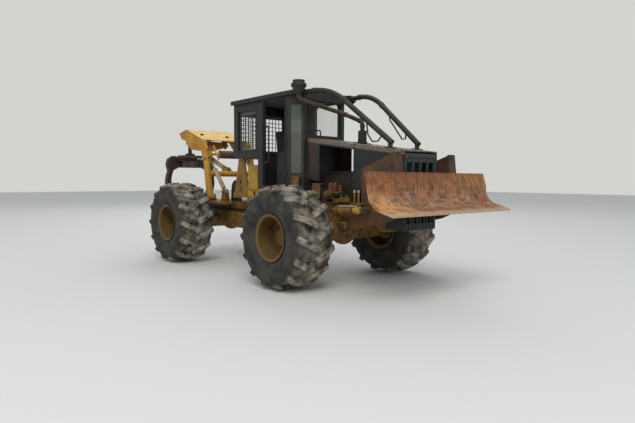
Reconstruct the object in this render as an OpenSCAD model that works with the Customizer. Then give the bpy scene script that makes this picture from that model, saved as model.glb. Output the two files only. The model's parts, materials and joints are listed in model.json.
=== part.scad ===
// Articulated grapple skidder with a front blade, millimetres, +X forward, +Y left, +Z up.
// Heights are above the ground. Lengths along X are measured from the front axle until placed().

/* [Wheels] */
// Distance between the front and the rear axle
wheel_base = 3570; // [3450:10:3700]
// Tyre radius over the lug tips
tyre_r = 805; // [780:5:820]
// Tyre section width
tyre_w = 740; // [700:5:760]
// Overall width over the tyres
overall_w = 3176; // [3120:2:3300]
// Radius of the rim's flange
rim_flange_r = 365; // [355:1:372]
// Depth from the rim's outer edge to its disc
dish_d = 330; // [280:5:360]

/* [Front frame] */
// Distance of a side rail's outer face from the centre line
rail_y = 372; // [360:1:400]
// Thickness of a side rail
rail_t = 40; // [30:1:50]
// Underside of the side rails
rail_low_z = 985; // [975:1:1000]
// Top of the side rails
rail_top_z = 1330; // [1300:5:1350]
// Distance from the front axle back to the frame hinge
hinge_back = 1785; // [1760:5:1810]
// Radius of the frame hinge pins
hinge_pin_r = 55; // [40:1:60]
// Radius of an axle housing
axle_r = 135; // [120:1:145]
// Radius of the bore in the tow tongue
tow_r = 27; // [20:1:32]

/* [Hood] */
// Half width of the hood
hood_half_w = 380; // [360:1:400]
// Top of the hood at its rear end
hood_rear_z = 2395; // [2360:5:2420]
// Top of the hood at its front end
hood_front_z = 2112; // [2090:2:2140]
// Front face of the hood and radiator guard
nose_x = 1630; // [1600:5:1650]
// Thickness of the hood's panels
hood_t = 14; // [8:1:20]
// Depth of the radiator guard behind its front face
guard_l = 330; // [280:10:360]

/* [Cab] */
// Rear face of the cab, back from the front axle
cab_back = 2420; // [2400:5:2450]
// Front face of the cab, back from the front axle
cab_front = 480; // [470:1:500]
// Half width of the cab
cab_half_w = 640; // [620:2:660]
// Half width of the cab's front face
cab_front_half_w = 470; // [450:2:490]
// Thickness of the cab's walls and posts
cab_t = 50; // [40:1:60]
// Top of the cab floor
cab_floor_z = 1560; // [1540:5:1590]
// Underside of the raised rear part of the cab
cab_deck_z = 2085; // [2060:5:2110]
// Top of the roof
roof_z = 3185; // [3150:5:3220]
// Thickness of the roof
roof_t = 70; // [50:2:90]
// Length of the doorway
door_l = 640; // [600:5:660]

/* [Blade] */
// Half width of the blade
blade_half_w = 1349; // [1300:5:1400]
// Clearance between a blade cylinder's middle and the tyre beside it
blade_cyl_clear = 138; // [130:1:150]
// Thickness of a blade arm
arm_t = 44; // [36:1:50]
// Radius of the shaft that the blade arms turn on
arm_shaft_r = 55; // [45:1:60]

/* [Arch] */
// Distance of an arch leg's middle from the centre line
leg_y = 560; // [540:2:580]
// Radius of an arch leg
leg_r = 72; // [60:1:80]
// Height of the ridge of the arch's head
ridge_z = 2800; // [2760:5:2840]

/* [Grapple] */
// Thickness of a grapple tong along the machine
tong_w = 150; // [120:2:180]
// Distance of a tong's pin from the centre line
tong_pin_y = 170; // [160:2:190]

/* [Hidden] */
$fn = 48;
// The front axle's place ahead of the middle of the whole machine
front_axle_x = 1664;
// Gap between pieces that move past each other
run_gap = 8;
// Gap round a pin in its bore
pin_gap = 0.08;
// Gap of a piece that is bolted on
seat_gap = 0.3;

wheel_z = tyre_r;
wheel_y = overall_w / 2 - tyre_w / 2;
blade_cyl_y = wheel_y - tyre_w / 2 - blade_cyl_clear;
arm_y = blade_cyl_y - 90;
rear_x = -wheel_base;
hinge_x = -hinge_back;
// Length of the front axle's pinion nose
nose_l = 330;
cab_rear_x = -cab_back;
cab_front_x = -cab_front;
post_w = 90;
door_front_x = cab_front_x - 220 - post_w;
door_rear_x = door_front_x - door_l;
b_post_x = door_rear_x - 170;
// Lower and upper edge of the rear windows
window_low = cab_deck_z + 145;
window_top = roof_z - 225;
// Pins of the cylinders, as [x, z]
arm_pin = [700, 1000];
blade_base = [560, 1222];
blade_eye = [1215, 1258];
arch_pin = [rear_x + 50, 1305];
arch_base = [rear_x + 500, 1430];
arch_eye = [rear_x - 110, 2105];
boom_pin = [rear_x - 600, 2450];
boom_base = [rear_x - 215, 1905];
boom_eye = [rear_x - 1100, 2235];
link_pin = [rear_x - 1930, 2580];
tong_pin_z = 2035;
// Pin of a tong's horn, as [y, z], and the plane of the tong cylinder ahead of the grapple's middle
horn_pin = [430, 2170];
horn_x = 172;
arch_cyl_y = leg_y - 106;
roller_at = [rear_x + 20, 2215];
arch_tie = [rear_x - 55, 1800];
// Front eave, ridge and rear eave of the arch's head, as [x, z], and its cover's thickness
head_line = [[rear_x - 202, 2536], [rear_x - 964, ridge_z], [rear_x - 1335, 2722]];
head_t = 17;
// Back face of the blade from its cutting edge up, as [x, z]
blade_back = [[2290, 1232], [2010, 1300], [1880, 1420], [1845, 1560], [1785, 1791]];
steer_y = 250;
steer_z = 900;
shaft_z = 930;
precleaner_at = [cab_front_x + 110, -cab_half_w - 32];
steer_front_x = hinge_x + 950;
steer_rear_x = hinge_x - 40;

module placed() {
    translate([front_axle_x, 0, 0]) children();
}

module both_sides() {
    children();
    mirror([0, 1, 0]) children();
}

// A plate in the XZ plane between two values of Y
module y_plate(y0, y1, outline) {
    translate([0, y1, 0]) rotate([90, 0, 0]) linear_extrude(y1 - y0) polygon(outline);
}

// A plate in the YZ plane between two values of X
module x_plate(x0, x1, outline) {
    translate([x0, 0, 0]) rotate([90, 0, 90]) linear_extrude(x1 - x0) polygon(outline);
}

// A block from its low corner to its high corner
module block(low, high) {
    translate(low) cube(high - low);
}

// A round bar along Y
module y_bar(at, r, y0, y1) {
    translate([at[0], y1, at[1]]) rotate([90, 0, 0]) cylinder(h = y1 - y0, r = r);
}

// A round bar from one point to another
module bar(from, to, r) {
    d = to - from;
    translate(from) rotate([0, acos(d[2] / norm(d)), atan2(d[1], d[0])]) cylinder(h = norm(d), r = r);
}

function arc(centre, r, a0, a1, steps) =
    [for (i = [0:steps]) centre + r * [cos(a0 + (a1 - a0) * i / steps), sin(a0 + (a1 - a0) * i / steps)]];

// Places its children at a point with local X towards a second point, both as [x, z] in the plane at y
module aim(from, to, y) {
    translate([from[0], y, from[1]]) rotate([0, -atan2(to[1] - from[1], to[0] - from[0]), 0]) children();
}

// A cylinder's barrel from its base pin, along +X
module barrel(length, r, eye_r, pin_r, eye_w, rod_r) {
    difference() {
        union() {
            translate([eye_r * 0.8, 0, 0]) rotate([0, 90, 0]) cylinder(h = eye_r * 1.6, r = eye_w * 0.46);
            translate([eye_r * 1.9, 0, 0]) rotate([0, 90, 0]) cylinder(h = length - eye_r * 1.9, r = r);
            y_bar([0, 0], eye_r, -eye_w / 2, eye_w / 2);
            translate([length - 40, 0, 0]) rotate([0, 90, 0]) cylinder(h = 40, r = r * 1.12);
        }
        y_bar([0, 0], pin_r + pin_gap, -eye_w, eye_w);
        translate([eye_r * 2.6, 0, 0]) rotate([0, 90, 0]) cylinder(h = length, r = rod_r + pin_gap);
    }
}

// A cylinder's rod from its eye, along -X
module rod(length, r, eye_r, eye_w) {
    translate([-length, 0, 0]) rotate([0, 90, 0]) cylinder(h = length - eye_r * 0.8, r = r);
    y_bar([0, 0], eye_r, -eye_w / 2, eye_w / 2);
}

// Front frame

module front_frame() color("goldenrod") placed() {
    nose_end = nose_x - guard_l - seat_gap;
    rail = [[hinge_x + 260, rail_low_z], [620, rail_low_z], [900, rail_low_z - 60], [nose_end, rail_low_z - 60],
        [nose_end, rail_top_z - 120], [900, rail_top_z], [hinge_x + 260, rail_top_z]];
    arm_in = arm_y - arm_t / 2 - run_gap;
    arm_out = arm_y + arm_t / 2;
    both_sides() {
        y_plate(rail_y - rail_t, rail_y, rail);
        // Anchor of the blade cylinder, with its pin
        y_plate(rail_y - 5, arm_in, [[470, 1110], [640, 1110], [640, 1300], [470, 1300]]);
        y_bar(blade_base, 30, arm_in - 10, blade_cyl_y + 60);
        y_bar(blade_base, 42, blade_cyl_y + 38, blade_cyl_y + 60);
        // Arm shaft outside the rail, with its cap
        y_bar(arm_pin, arm_shaft_r, rail_y - rail_t + 5, arm_out + 30);
        y_bar(arm_pin, arm_shaft_r + 25, rail_y - 5, arm_in);
        y_bar(arm_pin, arm_shaft_r + 7, arm_out + run_gap, arm_out + 34);
        // Anchor of the steering cylinder, with its pin
        block([steer_front_x - 60, rail_y - rail_t, steer_z - 62], [steer_front_x + 60, rail_y, rail_low_z + 5]);
        for (z = [steer_z - 62, steer_z + 42]) {
            block([steer_front_x - 60, steer_y - 60, z], [steer_front_x + 60, rail_y - 10, z + 20]);
        }
        translate([steer_front_x, steer_y, steer_z - 62]) cylinder(h = 124, r = 22);
        // Axle saddle
        difference() {
            block([-190, rail_y - rail_t - 60, wheel_z + 20], [190, rail_y, rail_low_z + 5]);
            y_bar([0, wheel_z], axle_r + seat_gap, 0, 900);
        }
        // Cab mounts
        for (x = [-1330, -780]) {
            block([x, rail_y - 70, rail_top_z - 5], [x + 110, rail_y, cab_floor_z - 45 - seat_gap]);
        }
        // Arm out to the tower under the rear of the cab
        block([-2080, rail_y - rail_t, 1250], [-1400, rail_y, rail_top_z]);
        y_plate(rail_y - 10, 640, [[-2080, 1330], [-2080, 1370], [-1640, 1370], [-1640, 1330]]);
        block([-2460, 560, 1330], [-1930, 640, 1370]);
        difference() {
            y_plate(590, 640, [[-2460, 1369], [-1930, 1369], [-1960, 1480], [-2100, cab_deck_z - seat_gap],
                [-2250, cab_deck_z - seat_gap], [-2400, 1480]]);
            y_bar([-2170, 1620], 45, 500, 700);
        }
    }
    // Cross members
    block([hinge_x + 260, -rail_y + rail_t - 5, 1200], [hinge_x + 320, rail_y - rail_t + 5, rail_top_z]);
    block([nose_end - 40, -rail_y + rail_t - 5, rail_low_z - 60], [nose_end, rail_y - rail_t + 5, rail_top_z - 120]);
    // Hinge: two ears above and two below, with their pins
    for (z = [rail_top_z - 50, 1130, 760, 600]) {
        hinge_ear(z, 50);
    }
    difference() {
        block([hinge_x + 180, -150, 600], [hinge_x + 265, 150, rail_top_z]);
        bar([hinge_x + 150, 0, shaft_z], [hinge_x + 300, 0, shaft_z], 60);
    }
    translate([hinge_x, 0, 1130]) cylinder(h = rail_top_z - 1130, r = hinge_pin_r);
    translate([hinge_x, 0, 600]) cylinder(h = 210, r = hinge_pin_r);
}

module hinge_ear(z, t) {
    translate([hinge_x, 0, z]) linear_extrude(t) difference() {
        union() {
            circle(r = hinge_pin_r + 75);
            polygon([[0, -125], [190, -150], [190, 150], [0, 125]]);
        }
    }
}

module front_axle() color("goldenrod") placed() {
    axle_beam(0);
    // Pinion nose towards the transfer case
    bar([-180, 0, wheel_z], [-nose_l, 0, wheel_z], 80);
}

module rear_axle() color("goldenrod") placed() {
    axle_beam(rear_x);
    // Pinion nose and the shaft towards the frame hinge
    bar([rear_x + 200, 0, wheel_z], [rear_x + 460, 0, wheel_z], 90);
    bar([rear_x + 440, 0, wheel_z], [hinge_x - 75, 0, shaft_z], 38);
}

// An axle housing with its differential and the hubs that carry the wheels
module axle_beam(x) {
    hub_y = wheel_y + tyre_w / 2 - 60 - dish_d;
    difference() {
        union() {
            y_bar([x, wheel_z], axle_r, -hub_y + 60, hub_y - 60);
            translate([x, 0, wheel_z]) sphere(r = 215);
            both_sides() {
                y_bar([x, wheel_z], 190, hub_y - 150, hub_y - 30);
                y_bar([x, wheel_z], 160, hub_y - 60, hub_y - seat_gap);
                y_bar([x, wheel_z], 110 - pin_gap, hub_y - 10, hub_y + 85);
            }
        }
    }
}

module engine() color("dimgray") placed() {
    block([-330, -250, 1210], [560, 250, 1560]);
    block([-300, -170, 1555], [420, 170, 1760]);
    // Valve cover
    block([-260, -90, 1755], [360, 90, 1830]);
    // Feet on the side rails
    for (x = [-250, 430]) {
        block([x, -rail_y + rail_t + seat_gap, 1240], [x + 80, rail_y - rail_t - seat_gap, 1300]);
    }
    // Fan
    bar([555, 0, 1480], [700, 0, 1480], 60);
    bar([690, 0, 1480], [740, 0, 1480], 250);
}

module transmission() color("gray") placed() {
    block([-1350, -220, 1010], [-430, 220, 1400]);
    bar([-435, 0, 1330], [-330 - seat_gap, 0, 1330], 70);
    for (x = [-1250, -560]) {
        block([x, -rail_y + rail_t + seat_gap, 1240], [x + 70, rail_y - rail_t - seat_gap, 1300]);
    }
    // Transfer case, and its shafts to the frame hinge and to the front axle
    block([-1330, -130, shaft_z - 90], [-1150, 130, 1015]);
    bar([-1325, 0, shaft_z], [hinge_x + 75, 0, shaft_z], 34);
    bar([-1155, 0, shaft_z], [-nose_l - 12, 0, wheel_z], 30);
}

function hood_z(x) = hood_front_z + (nose_x - x) * (hood_rear_z - hood_front_z) / (nose_x - cab_front_x);

module hood() color("saddlebrown") placed() {
    rear = cab_front_x + seat_gap;
    // The top plate, bent down at both sides
    y_plate(-hood_half_w, hood_half_w, [[rear, hood_z(rear)], [nose_x, hood_z(nose_x)],
        [nose_x, hood_z(nose_x) - hood_t], [rear, hood_z(rear) - hood_t]]);
    both_sides() difference() {
        y_plate(hood_half_w - hood_t, hood_half_w, [[rear, hood_z(rear) - 5], [nose_x, hood_z(nose_x) - 5],
            [nose_x, 1430], [650, 1545], [rear, 1705]]);
        y_plate(0, 600, [[-185, 1620], [630, 1515], [630, hood_z(630) - 90], [-185, hood_z(-185) - 90]]);
    }
}

module radiator_guard() color("darkslategray") placed() {
    top = hood_front_z - hood_t - seat_gap;
    half = hood_half_w - hood_t - seat_gap;
    difference() {
        block([nose_x - guard_l, -half, 960], [nose_x, half, top - 290 * (hood_rear_z - hood_front_z) / (nose_x - cab_front_x)]);
        block([nose_x - 290, -half + 30, 1000], [nose_x - 25, half - 30, top - 80]);
        for (i = [0:3]) {
            block([nose_x - 60, -half + 50 + i * 165, 1060], [nose_x + 20, -half + 50 + i * 165 + 120, 1945]);
        }
    }
    // The radiator core
    block([nose_x - 260, -half + 30, 1060], [nose_x - 180, half - 30, 1960]);
}

module cab_shell() color("dimgray") placed() {
    plan = [[cab_rear_x, -cab_half_w], [cab_front_x - 220, -cab_half_w], [cab_front_x, -cab_front_half_w],
        [cab_front_x, cab_front_half_w], [cab_front_x - 220, cab_half_w], [cab_rear_x, cab_half_w]];
    inner = [[cab_rear_x + cab_t, -cab_half_w + cab_t], [cab_front_x - 235, -cab_half_w + cab_t],
        [cab_front_x - cab_t, -cab_front_half_w + 20], [cab_front_x - cab_t, cab_front_half_w - 20],
        [cab_front_x - 235, cab_half_w - cab_t], [cab_rear_x + cab_t, cab_half_w - cab_t]];
    top = roof_z - roof_t - seat_gap;
    difference() {
        translate([0, 0, cab_floor_z - 45]) linear_extrude(top - cab_floor_z + 45) polygon(plan);
        translate([0, 0, cab_floor_z]) linear_extrude(top) polygon(inner);
        // Below the raised rear part
        block([cab_rear_x - 10, -700, 1400], [b_post_x, 700, cab_deck_z]);
        // Doorways
        both_sides() {
            y_plate(cab_half_w - 100, cab_half_w + 50, concat([[door_rear_x, cab_floor_z + 18]],
                arc([door_rear_x + 80, top - 110], 80, 180, 90, 6),
                arc([door_front_x - 80, top - 110], 80, 90, 0, 6), [[door_front_x, cab_floor_z + 18]]));
            // Rear side windows
            block([cab_rear_x + 150, cab_half_w - 100, window_low], [b_post_x - 60, cab_half_w + 50, window_top]);
            // Slanted front quarter windows
            translate([cab_front_x - 220, cab_half_w, 0])
                rotate([0, 0, -atan((cab_half_w - cab_front_half_w) / 220)])
                block([45, -120, 1800], [235, 60, window_top]);
        }
        // Windscreen and rear window
        block([cab_front_x - 100, -400, 2450], [cab_front_x + 50, 400, window_top + 60]);
        block([cab_rear_x - 50, -520, window_low], [cab_rear_x + 100, 520, window_top]);
    }
    // Floor of the raised rear part, and the wall up to it
    block([cab_rear_x + cab_t, -cab_half_w + cab_t, cab_deck_z], [b_post_x + cab_t, cab_half_w - cab_t, cab_deck_z + 40]);
    block([b_post_x, -cab_half_w + cab_t, cab_floor_z], [b_post_x + cab_t, cab_half_w - cab_t, cab_deck_z]);
}

module cab_roof() color("dimgray") placed() {
    over = 45;
    top = roof_z;
    translate([0, 0, roof_z - roof_t]) linear_extrude(roof_t) polygon([
        [cab_rear_x - over, -cab_half_w - over], [cab_front_x - 200, -cab_half_w - over],
        [cab_front_x + 60, -cab_front_half_w - 110], [cab_front_x + 60, cab_front_half_w + 110],
        [cab_front_x - 200, cab_half_w + over], [cab_rear_x - over, cab_half_w + over]]);
    // Visor plate along the front edge
    block([cab_front_x + 45, -cab_front_half_w - 100, roof_z - 150], [cab_front_x + 60, cab_front_half_w + 100, top - 10]);
}

module mesh_panel(length, height, pitch, wire) {
    linear_extrude(wire) difference() {
        square([length, height]);
        for (i = [0:floor((length - 60) / pitch) - 1], k = [0:floor((height - 60) / pitch) - 1]) {
            translate([30 + i * pitch + wire / 2, 30 + k * pitch + wire / 2]) square(pitch - wire);
        }
    }
}

module cab_guards() color("gray") placed() {
    // Guards inside the rear side windows and the rear window
    height = window_top - window_low + 20;
    both_sides() translate([cab_rear_x + 140, cab_half_w - cab_t - seat_gap, window_low - 10]) rotate([90, 0, 0])
        mesh_panel(630, height, 82, 12);
    translate([cab_rear_x + cab_t + seat_gap, -530, window_low - 10]) rotate([90, 0, 90])
        mesh_panel(1060, height, 82, 12);
}

module cab_glass() color("lightgray") placed() {
    block([cab_front_x - cab_t - 6 - seat_gap, -425, 2425], [cab_front_x - cab_t - seat_gap, 425, window_top + 85]);
    both_sides() translate([cab_front_x - 220, cab_half_w, 0])
        rotate([0, 0, -atan((cab_half_w - cab_front_half_w) / 220)])
        block([45 + seat_gap, -22, 1800 + seat_gap], [235 - seat_gap, -16, window_top - seat_gap]);
}

module seat() color("black") placed() {
    block([-1460, -250, cab_floor_z + seat_gap], [-1040, 250, cab_floor_z + 270]);
    block([-1500, -260, cab_floor_z + 270 + seat_gap], [-960, 260, cab_floor_z + 400]);
    translate([-1440, 0, cab_floor_z + 400 + seat_gap]) rotate([0, -8, 0]) block([-60, -250, 0], [60, 250, 620]);
}

module console() color("dimgray") placed() {
    block([-800, -300, cab_floor_z + seat_gap], [-560, 300, cab_floor_z + 560]);
    bar([-760, 0, cab_floor_z + 540], [-900, 0, cab_floor_z + 760], 28);
    translate([-900, 0, cab_floor_z + 760]) rotate([0, -32, 0]) rotate_extrude() translate([190, 0]) circle(r = 15);
    translate([-900, 0, cab_floor_z + 760]) rotate([0, -32, 0]) {
        cylinder(h = 16, r = 45, center = true);
        block([-190, -14, -6], [190, 14, 6]);
    }
    // Lever block at the operator's right hand
    block([-1250, -470, cab_floor_z + seat_gap], [-850, -330, cab_floor_z + 620]);
}

module riser() {
    toe = 8.4;
    r = 42;
    bend_r = 1000;
    bend_a = 38;
    top_l = 255;
    foot_l = 1125;
    collar = 24;
    start = [cab_front_x + 60 + 22, 560, roof_z - roof_t / 2 - 14];
    // Bracket on the roof's front edge
    translate(start) block([-22 + seat_gap, -60, -48], [8, 60, 48]);
    translate(start) rotate([0, 0, -toe]) {
        rotate([0, 90, 0]) cylinder(h = top_l - 4, r = r);
        translate([top_l - collar, 0, 0]) rotate([0, 90, 0]) cylinder(h = 2 * collar, r = r + 7);
        translate([top_l, 0, -bend_r]) rotate([90, 0, 0]) rotate_extrude(angle = -bend_a, start = 90)
            translate([bend_r, 0]) circle(r = r);
        translate([top_l + bend_r * sin(bend_a), 0, -bend_r * (1 - cos(bend_a))]) rotate([0, 90 + bend_a, 0]) {
            translate([0, 0, 4]) cylinder(h = foot_l, r = r);
            translate([0, 0, -collar]) cylinder(h = 2 * collar, r = r + 7);
        }
    }
    // Foot on the hood
    foot_x = start[0] + (top_l + bend_r * sin(bend_a) + foot_l * cos(bend_a) - 30) * cos(toe);
    foot_y = start[1] - (top_l + bend_r * sin(bend_a) + foot_l * cos(bend_a) - 30) * sin(toe);
    foot_top = start[2] - bend_r * (1 - cos(bend_a)) - (foot_l - 30) * sin(bend_a);
    tilt = atan((hood_rear_z - hood_front_z) / (nose_x - cab_front_x));
    translate([foot_x, foot_y, hood_z(foot_x)]) rotate([0, tilt, 0])
        block([-70, -55, seat_gap], [70, 55, 14]);
    translate([foot_x, foot_y, hood_z(foot_x) + 6]) cylinder(h = foot_top - hood_z(foot_x) - 6, r = r - 6);
}

module limb_risers() color("dimgray") placed() {
    both_sides() riser();
}

// Distance from a route's corner to where its elbow starts
function elbow_cut(a, b, c, bend) =
    bend * tan(acos((b - a) * (c - b) / norm(b - a) / norm(c - b)) / 2);

// An elbow at b on the way from a to c, with a clamp at each end
module elbow(a, b, c, r, bend) {
    u = (b - a) / norm(b - a);
    v = (c - b) / norm(c - b);
    n = (v - u * (u * v)) / norm(v - u * (u * v));
    z = cross(u, n);
    cut = elbow_cut(a, b, c, bend);
    hub = b - u * cut + n * bend;
    multmatrix([[-n[0], u[0], z[0], hub[0]], [-n[1], u[1], z[1], hub[1]], [-n[2], u[2], z[2], hub[2]]])
        rotate_extrude(angle = acos(u * v)) translate([bend, 0]) circle(r = r);
    bar(b - u * (cut + 20), b - u * (cut - 8), r + 7);
    bar(b + v * (cut - 8), b + v * (cut + 20), r + 7);
}

// A pipe along a route, with an elbow at each inner point
module pipe(route, r, bend) {
    last = len(route) - 1;
    for (i = [0:last - 1]) {
        way = (route[i + 1] - route[i]) / norm(route[i + 1] - route[i]);
        bar(i == 0 ? route[0] : route[i] + way * (elbow_cut(route[i - 1], route[i], route[i + 1], bend) + 12),
            i == last - 1 ? route[last]
                : route[i + 1] - way * (elbow_cut(route[i], route[i + 1], route[i + 2], bend) + 12), r);
    }
    for (i = [1:last - 1]) elbow(route[i - 1], route[i], route[i + 1], r, bend);
}

module intake_pipe() color("sienna") placed() {
    foot = [430, 10];
    tilt = atan((hood_rear_z - hood_front_z) / (nose_x - cab_front_x));
    // Stack on the hood
    translate([foot[0], foot[1], hood_z(foot[0])]) rotate([0, tilt, 0]) {
        block([-110, -95, seat_gap], [110, 95, 16]);
        translate([0, 0, 10]) cylinder(h = 30, r = 80);
    }
    bar([foot[0], foot[1], hood_z(foot[0]) + 25], [foot[0], foot[1], 2480], 70);
    // Pipe in front of the windscreen up to the pre-cleaner
    pipe([[foot[0], foot[1], 2475], [foot[0], foot[1], 2625], [-50, 45, 2800],
        [precleaner_at[0], precleaner_at[1], 3010], [precleaner_at[0], precleaner_at[1], roof_z + 30]], 36, 90);
    // Pre-cleaner bowl and cap
    bar([precleaner_at[0], precleaner_at[1], roof_z + 20], [precleaner_at[0], precleaner_at[1], roof_z + 80], 72);
    bar([precleaner_at[0], precleaner_at[1], roof_z + 78], [precleaner_at[0], precleaner_at[1], roof_z + 130], 100);
}

module side_tanks() color("goldenrod") placed() {
    both_sides() block([-1925, 400, 1370 + seat_gap], [b_post_x - 20, 640, 1950]);
}

module side_steps() color("goldenrod") placed() {
    top = cab_floor_z - 45 - seat_gap;
    both_sides() {
        block([-1500, cab_half_w + 5, top - 40], [-700, 900, top]);
        block([-1500, rail_y + seat_gap, top - 60], [-700, cab_half_w + 10, top - 6]);
        // Hanging step
        block([-1420, 740, 1060], [-1120, 880, 1090]);
        block([-1420, 840, 1085], [-1390, 880, top - 35]);
        block([-1150, 840, 1085], [-1120, 880, top - 35]);
    }
}

module rear_frame() color("goldenrod") placed() {
    front_x = hinge_x - 190;
    deck_z = 1225;
    end_x = rear_x - 720;
    both_sides() {
        y_plate(rail_y - rail_t, rail_y, [[front_x, 700], [front_x, 1185], [end_x, 1185],
            [end_x, rail_low_z], [rear_x + 260, rail_low_z], [rear_x + 500, 700]]);
        difference() {
            block([rear_x - 190, rail_y - rail_t - 60, wheel_z + 20], [rear_x + 190, rail_y, rail_low_z + 5]);
            y_bar([rear_x, wheel_z], axle_r + seat_gap, 0, 900);
        }
        // Arch foot bracket: two cheeks and their pin
        for (y = [leg_y - leg_r - run_gap - 22, leg_y + leg_r + run_gap]) {
            y_plate(y, y + 22, concat([[arch_pin[0] - 140, deck_z - 5]], arc(arch_pin, 75, 180, 0, 8),
                [[arch_pin[0] + 140, deck_z - 5]]));
        }
        y_bar(arch_pin, 32, leg_y - leg_r - 45, leg_y + leg_r + 45);
        // Arch cylinder bracket
        for (y = [arch_cyl_y - 46, arch_cyl_y + 28]) {
            y_plate(y, y + 18, concat([[arch_base[0] - 110, deck_z - 5]], arc(arch_base, 55, 180, 0, 8),
                [[arch_base[0] + 110, deck_z - 5]]));
        }
        y_bar(arch_base, 25, arch_cyl_y - 56, arch_cyl_y + 56);
        // Deck beside the rail
        block([rear_x - 400, rail_y - 5, deck_z - 45], [rear_x + 800, 680, deck_z]);
        // Steering cylinder cheeks beside the hinge
        for (z = [steer_z - 58, steer_z + 38]) {
            block([front_x - 60, rail_y - rail_t - 90, z], [front_x + 5, rail_y - 5, z + 20]);
            block([front_x, steer_y - 50, z], [steer_rear_x + 50, rail_y, z + 20]);
        }
    }
    block([end_x, -rail_y, deck_z - 45], [front_x, rail_y, deck_z]);
    block([end_x, -rail_y + rail_t - 5, rail_low_z], [end_x + 60, rail_y - rail_t + 5, deck_z - 40]);
    difference() {
        block([front_x - 60, -rail_y + rail_t - 5, 700], [front_x, rail_y - rail_t + 5, deck_z - 40]);
        bar([front_x - 100, 0, shaft_z - 20], [front_x + 50, 0, shaft_z - 20], 85);
    }
    // Tow tongue
    difference() {
        block([end_x - 150, -90, rail_low_z + 20], [end_x + 5, 90, rail_low_z + 60]);
        translate([end_x - 85, 0, rail_low_z]) cylinder(h = 100, r = tow_r);
    }
    // Hinge lugs on the pins of the front frame
    for (z = [[1190, 80], [660, 90]]) {
        difference() {
            translate([hinge_x, 0, z[0]]) linear_extrude(z[1]) union() {
                circle(r = hinge_pin_r + 70);
                polygon([[0, -120], [-200, -190], [-200, 190], [0, 120]]);
            }
            translate([hinge_x, 0, z[0] - 10]) cylinder(h = z[1] + 20, r = hinge_pin_r + pin_gap);
        }
    }
}

module winch() color("dimgray") placed() {
    x = rear_x + 690;
    both_sides() y_plate(290, 320, concat([[x - 190, 1225 + seat_gap]], arc([x, 1500], 170, 180, 0, 10),
        [[x + 190, 1225 + seat_gap]]));
    y_bar([x, 1500], 105, -290, 290);
    both_sides() y_bar([x, 1500], 160, 240, 262);
}

module arch_frame() color("orange") placed() {
    top = [rear_x - 130, 2330];
    both_sides() {
        // Leg with its foot eye
        difference() {
            union() {
                bar([arch_pin[0], leg_y, arch_pin[1]], [top[0], leg_y, top[1]], leg_r);
                y_bar(arch_pin, 66, leg_y - leg_r, leg_y + leg_r);
            }
            y_bar(arch_pin, 32 + pin_gap, leg_y - 90, leg_y + 90);
        }
        // Cheeks of the cylinder's upper pin, under a cap that ties them to the leg
        for (y = [arch_cyl_y - 44, arch_cyl_y + 28]) {
            y_plate(y, y + 16, concat([[arch_eye[0] - 62, arch_eye[1] - 30]],
                arc(arch_eye, 60, -60, 60, 6), [[arch_eye[0] - 62, arch_eye[1] + 90]]));
            y_bar(arch_eye, 30, y - (y < arch_cyl_y ? 10 : 0), y + 16 + (y < arch_cyl_y ? 0 : 10));
        }
        block([arch_eye[0] - 62, arch_cyl_y - 44, arch_eye[1] + 62], [arch_eye[0] + 20, leg_y - 20, arch_eye[1] + 90]);
        // Lugs that hold the roller's shaft
        y_plate(leg_y - 66, leg_y - 40, concat([[rear_x - 110, roller_at[1] - 70]], arc(roller_at, 50, -90, 90, 8),
            [[rear_x - 110, roller_at[1] + 70]]));
        y_bar(roller_at, 45, 308, 330);
        // Head side plate under the cover
        under = [0, head_t + seat_gap];
        y_plate(leg_y - 12, leg_y + 12, [[rear_x - 90, 2310], head_line[0] - under, head_line[1] - under,
            head_line[2] + (head_line[1] - head_line[2]) * 0.1 - under, [rear_x - 1240, 2600],
            [rear_x - 1000, 2540], [rear_x - 780, 2340], [rear_x - 300, 2290]]);
    }
    y_bar(roller_at, 25, -leg_y + 45, leg_y - 45);
    // Cross tubes
    y_bar(arch_tie, 60, -leg_y, leg_y);
    y_bar([rear_x - 720, 2620], 60, -leg_y, leg_y);
    // Boom pin cheeks
    both_sides() y_plate(190, 215, concat([[boom_pin[0] + 80, 2600], [boom_pin[0] - 190, 2640]],
        arc(boom_pin, 80, 180, 360, 8)));
    y_bar(boom_pin, 38, -240, 240);
    // Boom cylinder base
    both_sides() y_plate(60, 80, concat(arc(boom_base, 50, 90, 270, 6), [[arch_tie[0], arch_tie[1] - 40], [arch_tie[0], arch_tie[1] + 50]]));
    y_bar(boom_base, 25, -90, 90);
}

module arch_head() color("gold") placed() {
    // Gabled cover: a front slope and a rear slope
    y_plate(-leg_y - 20, leg_y + 20, concat(head_line, [for (i = [2:-1:0]) head_line[i] - [0, head_t]]));
}

module arch_roller() color("indianred") placed() {
    difference() {
        y_bar(roller_at, 85, -300, 300);
        y_bar(roller_at, 25 + pin_gap, -310, 310);
    }
}

module arch_barrels() color("wheat") placed() {
    both_sides() aim(arch_base, arch_eye, arch_cyl_y) barrel(620, 44, 46, 25, 44, 24);
}

module arch_rods() color("silver") placed() {
    d = norm(arch_eye - arch_base);
    both_sides() aim(arch_base, arch_eye, arch_cyl_y) translate([d, 0, 0]) rod(d - 330, 24, 42, 44);
}

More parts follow.
